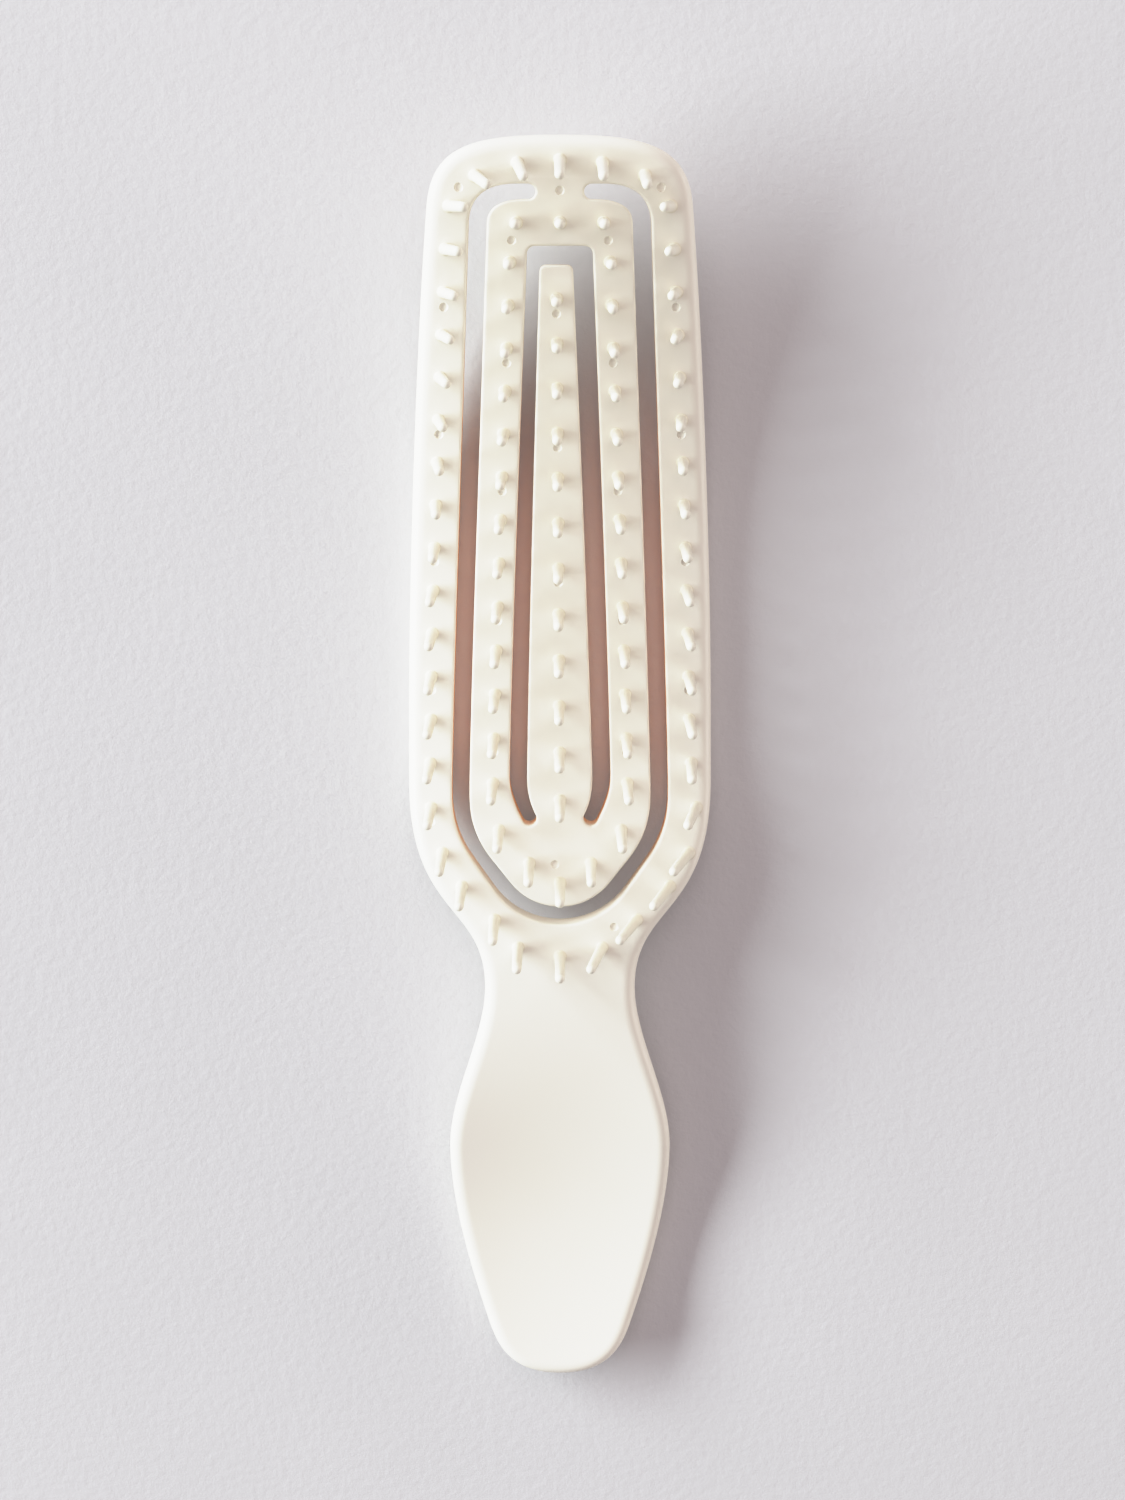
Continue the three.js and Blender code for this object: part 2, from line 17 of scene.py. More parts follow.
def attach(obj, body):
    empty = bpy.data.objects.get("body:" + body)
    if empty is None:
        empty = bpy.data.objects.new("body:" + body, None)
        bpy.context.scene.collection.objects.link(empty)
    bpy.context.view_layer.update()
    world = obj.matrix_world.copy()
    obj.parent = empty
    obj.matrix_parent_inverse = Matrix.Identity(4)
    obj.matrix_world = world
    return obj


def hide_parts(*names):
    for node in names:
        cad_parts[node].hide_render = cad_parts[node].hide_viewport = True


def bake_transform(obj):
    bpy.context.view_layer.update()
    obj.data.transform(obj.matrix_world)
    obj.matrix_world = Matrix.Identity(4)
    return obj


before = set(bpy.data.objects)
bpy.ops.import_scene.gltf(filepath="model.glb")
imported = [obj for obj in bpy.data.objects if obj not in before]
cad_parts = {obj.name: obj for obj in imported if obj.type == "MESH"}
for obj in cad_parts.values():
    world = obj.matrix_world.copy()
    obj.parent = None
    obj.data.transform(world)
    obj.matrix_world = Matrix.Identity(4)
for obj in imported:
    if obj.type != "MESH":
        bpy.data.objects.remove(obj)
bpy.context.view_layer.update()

bl_info = {
    "name": "Vent Brush",
    "version": (1, 0, 0),
    "blender": (4, 5, 0),
    "location": "View3D > Sidebar > Vent Brush",
    "description": "Builds a one-piece vent brush in cream plastic, with its table and light",
    "category": "Object",
}

MILLIMETRE = 0.001

# Outline of the head, from the axis outwards
TIP_Y = 111.0
CROWN_HALF = 22.0
CROWN_Y = 99.5
CROWN_FLAT = 14.3
CROWN_CORNER = 9.8
HEAD_FLARE = 0.1
HEAD_HALF = 26.6
HEAD_WIDE_Y = 0.0
HEAD_SIDE_TOP = 20.0
HEAD_SIDE_BOTTOM = 40.0
SHOULDER_TOP = 23.5
SHOULDER_BOTTOM = 15.0

# Outline of the neck and the handle
NECK_HALF = 13.25
NECK_Y = -36.0
NECK_BOTTOM = 9.4
HANDLE_HALF = 19.85
HANDLE_WIDE_Y = -67.2
HANDLE_TOP = 10.4
HANDLE_BOTTOM = 11.1
END_HALF = 12.9
END_TOP_Y = -102.0
END_Y = -111.0
END_TAPER = 0.35
END_SIDE = 11.4
END_CORNER = 3.8
END_FLAT = 9.2

# Frame window, loop and tongue
WINDOW_HALF = 19.0
WINDOW_TOP_HALF = 15.0
WINDOW_TOP_Y = 103.2
WINDOW_BOTTOM_Y = -24.4
WINDOW_CORNER = (8.0, 7.0)
SIDE_BOW = 1.2
CHIN_RADIUS = 14.3
CHIN_CORNER_Y = -8.3
CHIN_CORNER = 6.0
OUTER_SLOT = 3.1
BRIDGE_HALF = 4.0
LOOP_TOP_Y = 100.7
LOOP_BOTTOM_Y = -21.3
LOOP_CORNER = (6.5, 4.0)
LOOP_BAND = 7.6
LOOP_WINDOW_TOP_Y = 93.1
LOOP_WINDOW_CORNER = (1.6, 1.6)
INNER_SLOT = 3.15
INNER_SLOT_TOP = 2.75
TONGUE_HALF = 5.75
TONGUE_TOP_HALF = 2.4
TONGUE_TOP_Y = 89.95
TONGUE_CORNER = (1.3, 1.3)
TONGUE_SET = 0.6
HOOK_START_Y = 0.9
HOOK_END_Y = -6.0
HOOK_RADIUS = 1.3
HOOK_ANGLE = math.radians(28.0)
HOOK_X = 5.425
ROOT_Y = -7.3

# Where the loop and the tongue are let into the member that carries them
BRIDGE_TAB_HALF = 5.85
BRIDGE_TAB_Y = 104.4
ROOT_TAB_Y = -8.5

# Side view: the back touches the table under the head and near the end of the handle
FLAT_TOP_Y = 33.5
FLAT_BOTTOM_Y = 13.5
HEAD_ARC = 218.0
CREST_Y = -36.0
CREST_RISE = 6.5
HANDLE_LOW_Y = -86.0
END_RISE = 4.0
DISH_DEPTH = 1.3

# Rows of pins on the frame
PIN_CROWDING = 0.055
CROWN_PLACES = (-1.0, -0.5, 0.0, 0.5, 1.0)
CROWN_REACH = 13.9
CROWN_INSET = 4.0
CROWN_CORNER_INSET = 1.2
RAIL_START_Y = 99.6
RAIL_END_Y = -11.9
RAIL_PINS = 16
RAIL_NECK_PINS_Y = (-17.7, -23.5)
RAIL_LEAN_SPAN = 65.0
NECK_LEAN_START_Y = 6.0
NECK_LEAN_SPAN = 16.0
RIGHT_NECK_SHIFT = 2.0
THROAT_INSET = 5.6
THROAT_REACH = 7.4
THROAT_RISE = 1.6
THROAT_LEAN = math.radians(9.0)

# Rows of pins on the loop and the tongue; a chin pin is its place along Y and its inset
LOOP_CROWN_REACH = 7.2
LOOP_SIDE_START_Y = 90.4
LOOP_SIDE_END_Y = 0.1
LOOP_SIDE_PINS = 13
LOOP_SIDE_SHIFT = 0.6
CHIN_PINS = ((-8.0, 4.2), (-13.7, 6.1))
CHIN_LOW_PIN_RISE = 4.2
TONGUE_ROW_START_Y = 84.35
TONGUE_ROW_END_Y = -2.8
TONGUE_ROW_PINS = 12

# Rings of a pin, and the height over which it turns from the plate's slope to its own lean
PIN_FILLET_RINGS = 5
PIN_SHAFT_PARTS = (0.25, 0.5, 0.75)
PIN_DOME_RINGS = 5
PIN_TURN_HEIGHT = 2.0

# Round marks in the face: shares of their radius and depth, and those that no row of pins gives
PIT_PROFILE = ((0.68, 1.0), (0.86, 0.82), (0.95, 0.35), (1.02, 0.0), (1.2, 0.0))
PIT_SIDES = 20
PIT_DROP = 2.5
PIT_EVERY = 3
FRAME_PITS = ((-16.6, 102.6), (16.6, 102.6), (9.5, -24.8))
LOOP_PITS = ((0.0, 102.1), (-8.0, 94.0), (8.0, 94.0), (-0.9, -13.9))

# Fineness of the curves and the meshes; the short end and the clearance are shares of a step
CURVE_POINTS = 120
SWEEP_POINTS = 400
SIDE_POINTS = 600
SAME_PLACE = 1e-6
EDGE_TURN = math.radians(9.0)
SHORT_END = 0.3
ROUND_STEPS = 5
FACE_CLEARANCE = 0.55
SHARP_ANGLE = math.radians(50.0)

# Painted glow on a slot's wall at shares of its height, and painted warm shade at the foot of a pin
WALL_PAINTED_GLOW = ((0.4, 1.0), (0.62, 0.75), (0.8, 0.3))
PIN_FOOT_PAINTED_SHADE = 0.6

# How much less painted glow a wall gets that faces along the brush, because the plastic behind it is thick
CROSS_WALL_DIM = 0.65

# How much less painted glow a wall gets that stands high above the table, and where that sets in
HIGH_WALL_DIM = 0.75
HIGH_WALL_START = 1.6
HIGH_WALL_SPAN = 4.0

# How far off another surface keeps the painted glow in a slot, and how open a shut and an open place are
SLOT_REACH = 8.0
SHUT_OPENNESS = 0.5
OPEN_OPENNESS = 0.8
OPENNESS_SAMPLES = 4

# Plastic: noise scales, strength and height of the grain, and how far the roughness drifts either way
PLATE_CLOUD_SCALE = 45.0
PIN_CLOUD_SCALE = 400.0
GRAIN_SCALE = 2200.0
DRIFT_SCALE = 160.0
PLATE_GRAIN = 0.06
PIN_GRAIN = 0.03
GRAIN_HEIGHT = 0.2
SMOOTH_DRIFT = 0.06
ROUGH_DRIFT = 0.08
PLASTIC_IOR = 1.46

# Paper: noise scales, strength and height of its tooth, and shades at shares of the fibre's noise
PAPER_HALF = 900.0
TOOTH_SCALE = 520.0
TOOTH_STRENGTH = 0.22
TOOTH_HEIGHT = 0.6
FIBRE_SCALE = 24.0
FIBRE_SHADES = ((0.3, 0.985), (0.7, 1.01))

# Lights and camera, in metres
CARD_PLACE = (3.0, 0.0, 0.32)
CARD_SIZE = (2.0, 0.4)
CEILING_PLACE = (0.0, 1.7, 2.5)
CEILING_SIZE = (2.6, 2.6)
CAMERA_PLACE = (0.00044, 0.10502, 0.45921)
CAMERA_TILT = math.radians(-12.3)

# Tone curve: each brightness and the tone that it is shown in
ALL_CHANNELS = 3
WHITE_LEVEL = 2.0
WHITE_TONE = 0.96
TONES = ((0.25, 0.25), (0.5, 0.5), (0.7, 0.695), (0.85, 0.81), (1.0, 0.87), (1.3, 0.92))


# Settings


def distance(name, default, description):
    """A length in metres, given in millimetres."""
    metres = default * MILLIMETRE
    return FloatProperty(
        name=name, description=description, default=metres, min=0.0, unit="LENGTH", precision=5
    )


def degrees(name, default, description):
    """An angle in radians, given in degrees."""
    return FloatProperty(name=name, description=description, default=math.radians(default), subtype="ANGLE")


def share(name, default, description):
    """A number from 0 to 1."""
    return FloatProperty(
        name=name, description=description, default=default, min=0.0, max=1.0, subtype="FACTOR"
    )


def power(name, default, description):
    """The power of a light in watts."""
    return FloatProperty(name=name, description=description, default=default, min=0.0, unit="POWER")


def tint(name, default, description):
    """A colour in linear values."""
    return FloatVectorProperty(
        name=name, description=description, default=default, size=3, min=0.0, max=1.0, subtype="COLOR"
    )


class PlateSizes(PropertyGroup):
    """The bent plate that the three members are cut from."""

    thickness: distance("Thickness", 4.5, "Thickness of the plate")
    rim_round: distance("Rim rounding", 2.1, "Radius that the outer edge is rounded to")
    slot_round: distance("Slot rounding", 0.45, "Radius that the edges of the slots are rounded to")
    edge_margin: distance("Edge margin", 0.35, "Width of the flat strip beside a rounded edge")
    edge_step: distance("Edge spacing", 0.9, "Longest step along an edge")
    face_step: distance("Face spacing", 1.7, "Distance between points on the faces")
    pit_radius: distance("Pit radius", 0.75, "Radius of the round marks beside the pins")
    pit_depth: distance("Pit depth", 0.32, "Depth of the round marks beside the pins")


class PinSizes(PropertyGroup):
    """The moulded pins."""

    base_radius: distance("Base radius", 0.95, "Radius where a pin leaves the plate")
    tip_radius: distance("Tip radius", 0.82, "Radius of the domed tip")
    length: distance("Length", 14.0, "Height of a pin above the plate")
    fillet: distance("Fillet", 0.25, "Radius of the curve between a pin and the plate")
    root: distance("Root", 0.3, "Depth that a pin is sunk into the plate")
    sides: IntProperty(name="Sides", description="Facets round a pin", default=24, min=8, max=64)
    left_lean: degrees("Left lean", 12.5, "Inward lean of the left rail's pins beside the crown")
    right_lean: degrees("Right lean", 6.5, "Inward lean of the right rail's pins beside the crown")
    neck_lean: degrees("Neck lean", 14.0, "Inward lean of the right rail's pins near the neck")
    crown_lean: degrees("Crown lean", 10.0, "Lean of the middle crown pin towards the handle")
    crown_corner_lean: degrees("Crown corner lean", 6.0, "Lean of the outer crown pins towards the handle")
    crown_side_lean: degrees("Crown side lean", 10.0, "Lean of the leftmost crown pin to the right")


class FinishSettings(PropertyGroup):
    """The moulded plastic."""

    plate: tint("Plate", (0.93, 0.892, 0.8), "Colour of the bent plate")
    plate_cloud: tint("Plate cloud", (0.925, 0.88, 0.765), "Colour of the faint clouds in the plate")
    pin: tint("Pins", (0.88, 0.85, 0.74), "Colour of the pins")
    # Also the colour of the painted warm shade at the pins' feet
    pin_cloud_and_foot_shade: tint("Pin cloud and foot shade", (0.88, 0.825, 0.68), "Colour of the pins' faint clouds and of their feet")
    # Painted glow: the slot walls take this colour and give off a little light, for light shining through
    # the plastic
    glow: tint("Painted slot glow", (1.0, 0.38, 0.01), "Colour of the slot walls that light shines through")
    glow_strength: share("Slot glow", 0.05, "Light that comes out of those walls")
    cloud_amount: share("Cloud amount", 0.35, "Strength of the faint clouds")
    roughness: share("Roughness", 0.42, "Roughness that the plastic drifts about")


class StageSettings(PropertyGroup):
    """The paper, the light and the camera."""

    paper: tint("Paper", (0.668, 0.654, 0.674), "Colour of the paper")
    sky: tint("Sky", (1.0, 0.885, 0.9), "Colour of the light from all round")
    sky_strength: FloatProperty(
        name="Sky strength", description="Strength of the light from all round", default=0.31, min=0.0
    )
    window_power: power("Window power", 327.0, "Power of the wide low window")
    window_tint: tint("Window tint", (0.89, 0.985, 0.985), "Colour of the window's light")
    window_width: distance("Window width", 4600.0, "Width of the window")
    window_height: distance("Window height", 1200.0, "Height of the window")
    window_distance: distance("Window distance", 4000.0, "Distance of the window from the brush")
    window_rise: degrees("Window rise", 21.5, "Angle of the window above the table")
    window_turn: degrees("Window turn", 16.0, "Angle of the window towards the tip")
    card_power: power("Card power", 32.0, "Power of the low card that lights the far side")
    card_tint: tint("Card tint", (1.0, 0.95, 0.88), "Colour of the card's light")
    ceiling_power: power("Ceiling power", 25.0, "Power of the wide soft light overhead")
    ceiling_tint: tint("Ceiling tint", (1.0, 0.875, 0.88), "Colour of the light overhead")
    lens: FloatProperty(
        name="Lens", description="Focal length", default=63.6, min=1.0, subtype="DISTANCE_CAMERA"
    )


# Curves in the plane, as arrays of points


def line(start, end):
    return np.linspace(start, end, CURVE_POINTS)


def bend(start, corner, end):
    """A curve that leaves start towards the corner and reaches end from it."""
    t = np.linspace(0.0, 1.0, CURVE_POINTS)[:, None]
    start, corner, end = (np.array(point, float) for point in (start, corner, end))
    return (1 - t) ** 2 * start + 2 * (1 - t) * t * corner + t**2 * end


def sweep(start, first, second, end):
    """A cubic curve between two points, pulled by two others."""
    t = np.linspace(0.0, 1.0, SWEEP_POINTS)[:, None]
    start, first, second, end = (np.array(point, float) for point in (start, first, second, end))
    return (1 - t) ** 3 * start + 3 * (1 - t) ** 2 * t * first + 3 * (1 - t) * t**2 * second + t**3 * end


def arc(centre, radius, start, end):
    angles = np.linspace(start, end, CURVE_POINTS)
    return np.column_stack([centre[0] + radius * np.cos(angles), centre[1] + radius * np.sin(angles)])


def join(*curves):
    """One line through curves that each start where the last one ends."""
    points = np.vstack(curves)
    moved = np.linalg.norm(np.diff(points, axis=0), axis=1) > SAME_PLACE
    return points[np.concatenate([[True], moved])]


def spaced(points, step):
    """Thins a dense line to points that lie a step apart, or closer where it turns."""
    moves = np.diff(points, axis=0)
    lengths = np.linalg.norm(moves, axis=1)
    angles = np.unwrap(np.arctan2(moves[:, 1], moves[:, 0]))
    kept = [0]
    for i in range(1, len(points) - 1):
        far = lengths[kept[-1] : i].sum() >= step
        turned = abs(angles[i] - angles[kept[-1]]) >= EDGE_TURN
        if far or turned:
            kept.append(i)
    if lengths[kept[-1] :].sum() < SHORT_END * step and len(kept) > 1:
        kept.pop()
    return points[kept + [len(points) - 1]]


def flip(points):
    return points * np.array([-1.0, 1.0])


# Side view


def ease(part):
    """A share from 0 to 1 that starts and ends gently."""
    return (1 - np.cos(np.pi * part)) / 2


def back_height(y):
    """Height of the back above the table, along the brush."""
    arc_part = np.clip(y - FLAT_TOP_Y, 0.0, None)
    head = HEAD_ARC - np.sqrt(HEAD_ARC**2 - arc_part**2)
    neck = CREST_RISE * ease(np.clip((FLAT_BOTTOM_Y - y) / (FLAT_BOTTOM_Y - CREST_Y), 0, 1))
    handle = CREST_RISE * ease(np.clip((y - HANDLE_LOW_Y) / (CREST_Y - HANDLE_LOW_Y), 0, 1))
    end = END_RISE * (np.clip((HANDLE_LOW_Y - y) / (HANDLE_LOW_Y - END_Y), 0, None)) ** 2
    return np.where(y >= FLAT_BOTTOM_Y, head, np.where(y >= CREST_Y, neck, handle + end))


def lift(x, y):
    """Height that the flat plate is raised by: its wave along Y and the dish across the handle."""
    part = ease(np.clip((CREST_Y - y) / (CREST_Y - HANDLE_WIDE_Y), 0, 1))
    dish = DISH_DEPTH * part * (x / HANDLE_HALF) ** 2
    return back_height(y) + dish


# Outlines, each as the right half from its top to its bottom


def body_half():
    crown = sweep(
        (0.0, TIP_Y),
        (CROWN_FLAT, TIP_Y),
        (CROWN_HALF - HEAD_FLARE * CROWN_CORNER, CROWN_Y + CROWN_CORNER),
        (CROWN_HALF, CROWN_Y),
    )
    head = sweep(
        (CROWN_HALF, CROWN_Y),
        (CROWN_HALF + HEAD_FLARE * HEAD_SIDE_TOP, CROWN_Y - HEAD_SIDE_TOP),
        (HEAD_HALF, HEAD_WIDE_Y + HEAD_SIDE_BOTTOM),
        (HEAD_HALF, HEAD_WIDE_Y),
    )
    shoulder = sweep(
        (HEAD_HALF, HEAD_WIDE_Y),
        (HEAD_HALF, HEAD_WIDE_Y - SHOULDER_TOP),
        (NECK_HALF, NECK_Y + SHOULDER_BOTTOM),
        (NECK_HALF, NECK_Y),
    )
    grip = sweep(
        (NECK_HALF, NECK_Y),
        (NECK_HALF, NECK_Y - NECK_BOTTOM),
        (HANDLE_HALF, HANDLE_WIDE_Y + HANDLE_TOP),
        (HANDLE_HALF, HANDLE_WIDE_Y),
    )
    taper = sweep(
        (HANDLE_HALF, HANDLE_WIDE_Y),
        (HANDLE_HALF, HANDLE_WIDE_Y - HANDLE_BOTTOM),
        (END_HALF + END_TAPER * END_SIDE, END_TOP_Y + END_SIDE),
        (END_HALF, END_TOP_Y),
    )
    end = sweep(
        (END_HALF, END_TOP_Y),
        (END_HALF - END_TAPER * END_CORNER, END_TOP_Y - END_CORNER),
        (END_FLAT, END_Y),
        (0.0, END_Y),
    )
    return join(crown, head, shoulder, grip, taper, end)


def narrowing(half, top_half, y):
    """Half width on a long side, which narrows from the widest place of the head to the crown."""
    part = np.maximum(0.0, (y - HEAD_WIDE_Y) / (CROWN_Y - HEAD_WIDE_Y))
    return half - (half - top_half) * part**SIDE_BOW


def window_side(y):
    return narrowing(WINDOW_HALF, WINDOW_TOP_HALF, y)


def loop_side(y):
    return window_side(y) - OUTER_SLOT


def tongue_side(y):
    return narrowing(TONGUE_HALF, TONGUE_TOP_HALF, y)


def loop_window_side(y):
    return tongue_side(y) + narrowing(INNER_SLOT, INNER_SLOT_TOP, y)


def top_and_side(side, start_x, top, corner, bottom):
    """Top edge from start_x, the corner and the long side down to bottom."""
    side_top = top - corner[1]
    wide = side(side_top)
    y = np.linspace(side_top, bottom, SIDE_POINTS)
    return join(
        line((start_x, top), (wide - corner[0], top)),
        bend((wide - corner[0], top), (wide, top), (wide, side_top)),
        np.column_stack([side(y), y]),
    )


def chin(inset):
    """The slanted cheek and the round chin of the window, or of what lies inside it by an inset."""
    half = WINDOW_HALF - inset
    radius = CHIN_RADIUS - inset
    centre_y = WINDOW_BOTTOM_Y + CHIN_RADIUS
    drop = CHIN_CORNER_Y - centre_y
    angle = math.atan2(drop, half) - math.acos(radius / math.hypot(half, drop))
    corner = np.array([half, CHIN_CORNER_Y])
    touch = np.array([radius * math.cos(angle), centre_y + radius * math.sin(angle)])
    after = corner + CHIN_CORNER * (touch - corner) / np.linalg.norm(touch - corner)
    return join(
        bend((half, CHIN_CORNER_Y + CHIN_CORNER), corner, after),
        line(after, touch),
        arc((0.0, centre_y), radius, angle, -math.pi / 2),
    )


def window_half():
    side_bottom = CHIN_CORNER_Y + CHIN_CORNER
    top = top_and_side(window_side, BRIDGE_TAB_HALF, WINDOW_TOP_Y, WINDOW_CORNER, side_bottom)
    return join(top, chin(0.0))


def loop_half():
    """The loop with the bridge that carries it, round the end of the outer slot."""
    radius = (WINDOW_TOP_Y - LOOP_TOP_Y) / 2
    centre = (BRIDGE_HALF + radius, LOOP_TOP_Y + radius)
    side_bottom = CHIN_CORNER_Y + CHIN_CORNER
    return join(
        line((BRIDGE_TAB_HALF, WINDOW_TOP_Y), (centre[0], WINDOW_TOP_Y)),
        arc(centre, radius, math.pi / 2, 3 * math.pi / 2),
        top_and_side(loop_side, centre[0], LOOP_TOP_Y, LOOP_CORNER, side_bottom),
        chin(OUTER_SLOT),
    )


def hook(side, facing):
    """An edge of the inner slot where it hooks inwards; facing is 1 on the loop and -1 on the tongue."""
    touch_x = HOOK_X + facing * HOOK_RADIUS * math.cos(HOOK_ANGLE)
    touch_y = HOOK_END_Y - facing * HOOK_RADIUS * math.sin(HOOK_ANGLE)
    side_x = side(HOOK_START_Y)
    bend_y = touch_y + (side_x - touch_x) / math.tan(HOOK_ANGLE)
    if facing > 0:
        end = arc((HOOK_X, HOOK_END_Y), HOOK_RADIUS, -HOOK_ANGLE, -math.pi / 2)
    else:
        end = arc((HOOK_X, HOOK_END_Y), HOOK_RADIUS, math.pi - HOOK_ANGLE, 3 * math.pi / 2)
    return join(bend((side_x, HOOK_START_Y), (side_x, bend_y), (touch_x, touch_y)), end)


def loop_window_half():
    top = top_and_side(loop_window_side, 0.0, LOOP_WINDOW_TOP_Y, LOOP_WINDOW_CORNER, HOOK_START_Y)
    return join(top, hook(loop_window_side, 1))


def tongue_set(y):
    """How far the tongue stands over to the left, in step with its distance from the root."""
    return -TONGUE_SET * np.maximum(0.0, (y - ROOT_Y) / (TONGUE_TOP_Y - ROOT_Y))


def tongue_half():
    top = top_and_side(tongue_side, 0.0, TONGUE_TOP_Y, TONGUE_CORNER, HOOK_START_Y)
    return join(top, hook(tongue_side, -1))


# Plates


def unit(vectors):
    """Vectors of length 1 in the same directions."""
    return vectors / np.linalg.norm(vectors, axis=1)[:, None]


class Edge:
    """A closed edge of a plate with its material on the left: a rounded run, then a cut that closes it.

    Its walls can get a painted glow for light that shines through, less where they face along the brush.
    """

    def __init__(self, run, cut, radius, gets_painted_glow):
        ahead = np.roll(run, -1, axis=0) - run
        behind = run - np.roll(run, 1, axis=0)
        if len(cut):
            ahead[-1] = behind[-1]
            behind[0] = ahead[0]
        along = unit(ahead) + unit(behind)
        inward = np.column_stack([-along[:, 1], along[:, 0]])
        if len(cut):
            inward[0] = cut[-1] - run[0]
            inward[-1] = cut[0] - run[-1]
        inward = unit(inward)
        self.points = np.vstack([run, cut]) if len(cut) else run
        self.inward = np.vstack([inward, np.zeros((len(cut), 2))]) if len(cut) else inward
        self.radius = radius
        self.gets_painted_glow = gets_painted_glow
        self.painted_glow_share = 1 - CROSS_WALL_DIM * np.abs(self.inward[:, 1])

    def rings(self, thickness, margin):
        """Inset, height and painted glow of each ring of the rounded edge, from the back up to the face."""
        turn = np.linspace(0.0, math.pi / 2, ROUND_STEPS + 1)
        radius = self.radius
        rings = [(radius + margin, 0.0, 0.0)]
        for a in turn:
            inset = radius * (1 - math.sin(a))
            rings.append((inset, radius * (1 - math.cos(a)), self.gets_painted_glow * math.sin(a)))
        if self.gets_painted_glow:
            rings += [(0.0, part * thickness, warmth) for part, warmth in WALL_PAINTED_GLOW]
        for a in turn:
            rings.append((radius * (1 - math.cos(a)), thickness - radius * (1 - math.sin(a)), 0.0))
        rings.append((radius + margin, thickness, 0.0))
        return rings


def cut_across(x, y):
    """The cut that closes an edge, from one side of the axis straight to the other."""
    return np.array([(x, y), (-x, y)])


def inside(points, rings):
    """Which points lie inside closed rings, by the even-odd rule."""
    result = np.zeros(len(points), bool)
    x, y = points[:, 0], points[:, 1]
    for ring in rings:
        for (x0, y0), (x1, y1) in zip(ring, np.roll(ring, -1, axis=0)):
            if y0 == y1:
                continue
            crosses = (y0 > y) != (y1 > y)
            result ^= crosses & (x < (x1 - x0) * (y - y0) / (y1 - y0) + x0)
    return result


def face_fill(rings, step):
    """Points inside closed rings, and the triangles that cover the rings and those points."""
    border = np.vstack(rings)
    low, high = border.min(axis=0), border.max(axis=0)
    rows = np.arange(low[1], high[1], step * math.sqrt(3) / 2)
    columns = np.arange(low[0] - step, high[0] + step, step)
    grid = np.array([(x + step / 2 * (i % 2), y) for i, y in enumerate(rows) for x in columns])
    grid = grid[inside(grid, rings)]
    tree = KDTree(len(border))
    for i, (x, y) in enumerate(border):
        tree.insert((x, y, 0.0), i)
    tree.balance()
    clear = [tree.find((x, y, 0.0))[2] > FACE_CLEARANCE * step for x, y in grid]
    grid = grid[np.array(clear, bool)]
    links = []
    first = 0
    for ring in rings:
        count = len(ring)
        links += [(first + i, first + (i + 1) % count) for i in range(count)]
        first += count
    points = np.vstack([border, grid])
    places = [Vector(point) for point in points]
    _, _, triangles, sources, _, _ = delaunay_2d_cdt(places, links, [], 0, SAME_PLACE)
    if any(len(source) != 1 for source in sources):
        raise RuntimeError("The edges of a plate touch or cross")
    faces = np.array([[sources[corner][0] for corner in triangle] for triangle in triangles])
    faces = faces[inside(points[faces].mean(axis=1), rings)]
    a, b, c = (points[faces[:, k]] for k in range(3))
    turned = (b[:, 0] - a[:, 0]) * (c[:, 1] - a[:, 1]) - (b[:, 1] - a[:, 1]) * (c[:, 0] - a[:, 0]) < 0
    faces[turned] = faces[turned][:, ::-1]
    return grid, faces


class Surface:
    """Corners, faces and painted glow and shade of a mesh that is being put together, in millimetres."""

    def __init__(self):
        self.corners = []
        self.faces = []
        self.warmth = []

    def add(self, points, height, warmth):
        first = len(self.corners)
        heights = np.broadcast_to(height, (len(points),))
        self.corners += [(x, y, z) for (x, y), z in zip(points, heights)]
        self.warmth += np.broadcast_to(warmth, (len(points),)).tolist()
        return np.arange(first, first + len(points))

    def walls(self, rings):
        """Faces between each closed ring of corners and the next, seen from the right of their run."""
        for lower, upper in zip(rings, rings[1:]):
            ahead_lower, ahead_upper = np.roll(lower, -1), np.roll(upper, -1)
            self.faces += np.column_stack([lower, ahead_lower, ahead_upper, upper]).tolist()

    def cover(self, rings, height, step, upwards):
        """Fills the space inside rings of corners with a face."""
        flat = [np.array([self.corners[i][:2] for i in ring]) for ring in rings]
        grid, faces = face_fill(flat, step)
        order = np.concatenate(list(rings) + [self.add(grid, height, 0.0)])
        faces = order[faces if upwards else faces[:, ::-1]]
        self.faces += faces.tolist()


def plate_surface(edges, pits, plate):
    """A closed plate with rounded edges and round pits in its face, bent as the side view says."""
    thickness = plate.thickness / MILLIMETRE
    margin = plate.edge_margin / MILLIMETRE
    step = plate.face_step / MILLIMETRE
    surface = Surface()
    backs, tops = [], []
    for edge in edges:
        rings = []
        for inset, height, warmth in edge.rings(thickness, margin):
            rings.append(surface.add(edge.points + inset * edge.inward, height, warmth * edge.painted_glow_share))
        surface.walls(rings)
        backs.append(rings[0])
        tops.append(rings[-1])
    surface.cover(backs, 0.0, step, upwards=False)
    radius = plate.pit_radius / MILLIMETRE
    depth = plate.pit_depth / MILLIMETRE
    angles = np.linspace(0.0, -2 * math.pi, PIT_SIDES + 1)[:-1]
    circle = np.column_stack([np.cos(angles), np.sin(angles)])
    for pit in pits:
        rings = []
        for part, sunk in PIT_PROFILE:
            rings.append(surface.add(np.array(pit) + radius * part * circle, thickness - sunk * depth, 0.0))
        surface.walls(rings)
        surface.faces.append(rings[0][::-1].tolist())
        tops.append(rings[-1])
    surface.cover(tops, thickness, step, upwards=True)
    corners = np.array(surface.corners)
    raised = lift(corners[:, 0], corners[:, 1])
    corners[:, 2] += raised
    surface.corners = corners
    # The painted glow is weaker on walls that stand high above the table
    high = ease(np.clip((raised - HIGH_WALL_START) / HIGH_WALL_SPAN, 0, 1))
    surface.warmth = np.array(surface.warmth) * (1 - HIGH_WALL_DIM * high)
    return surface


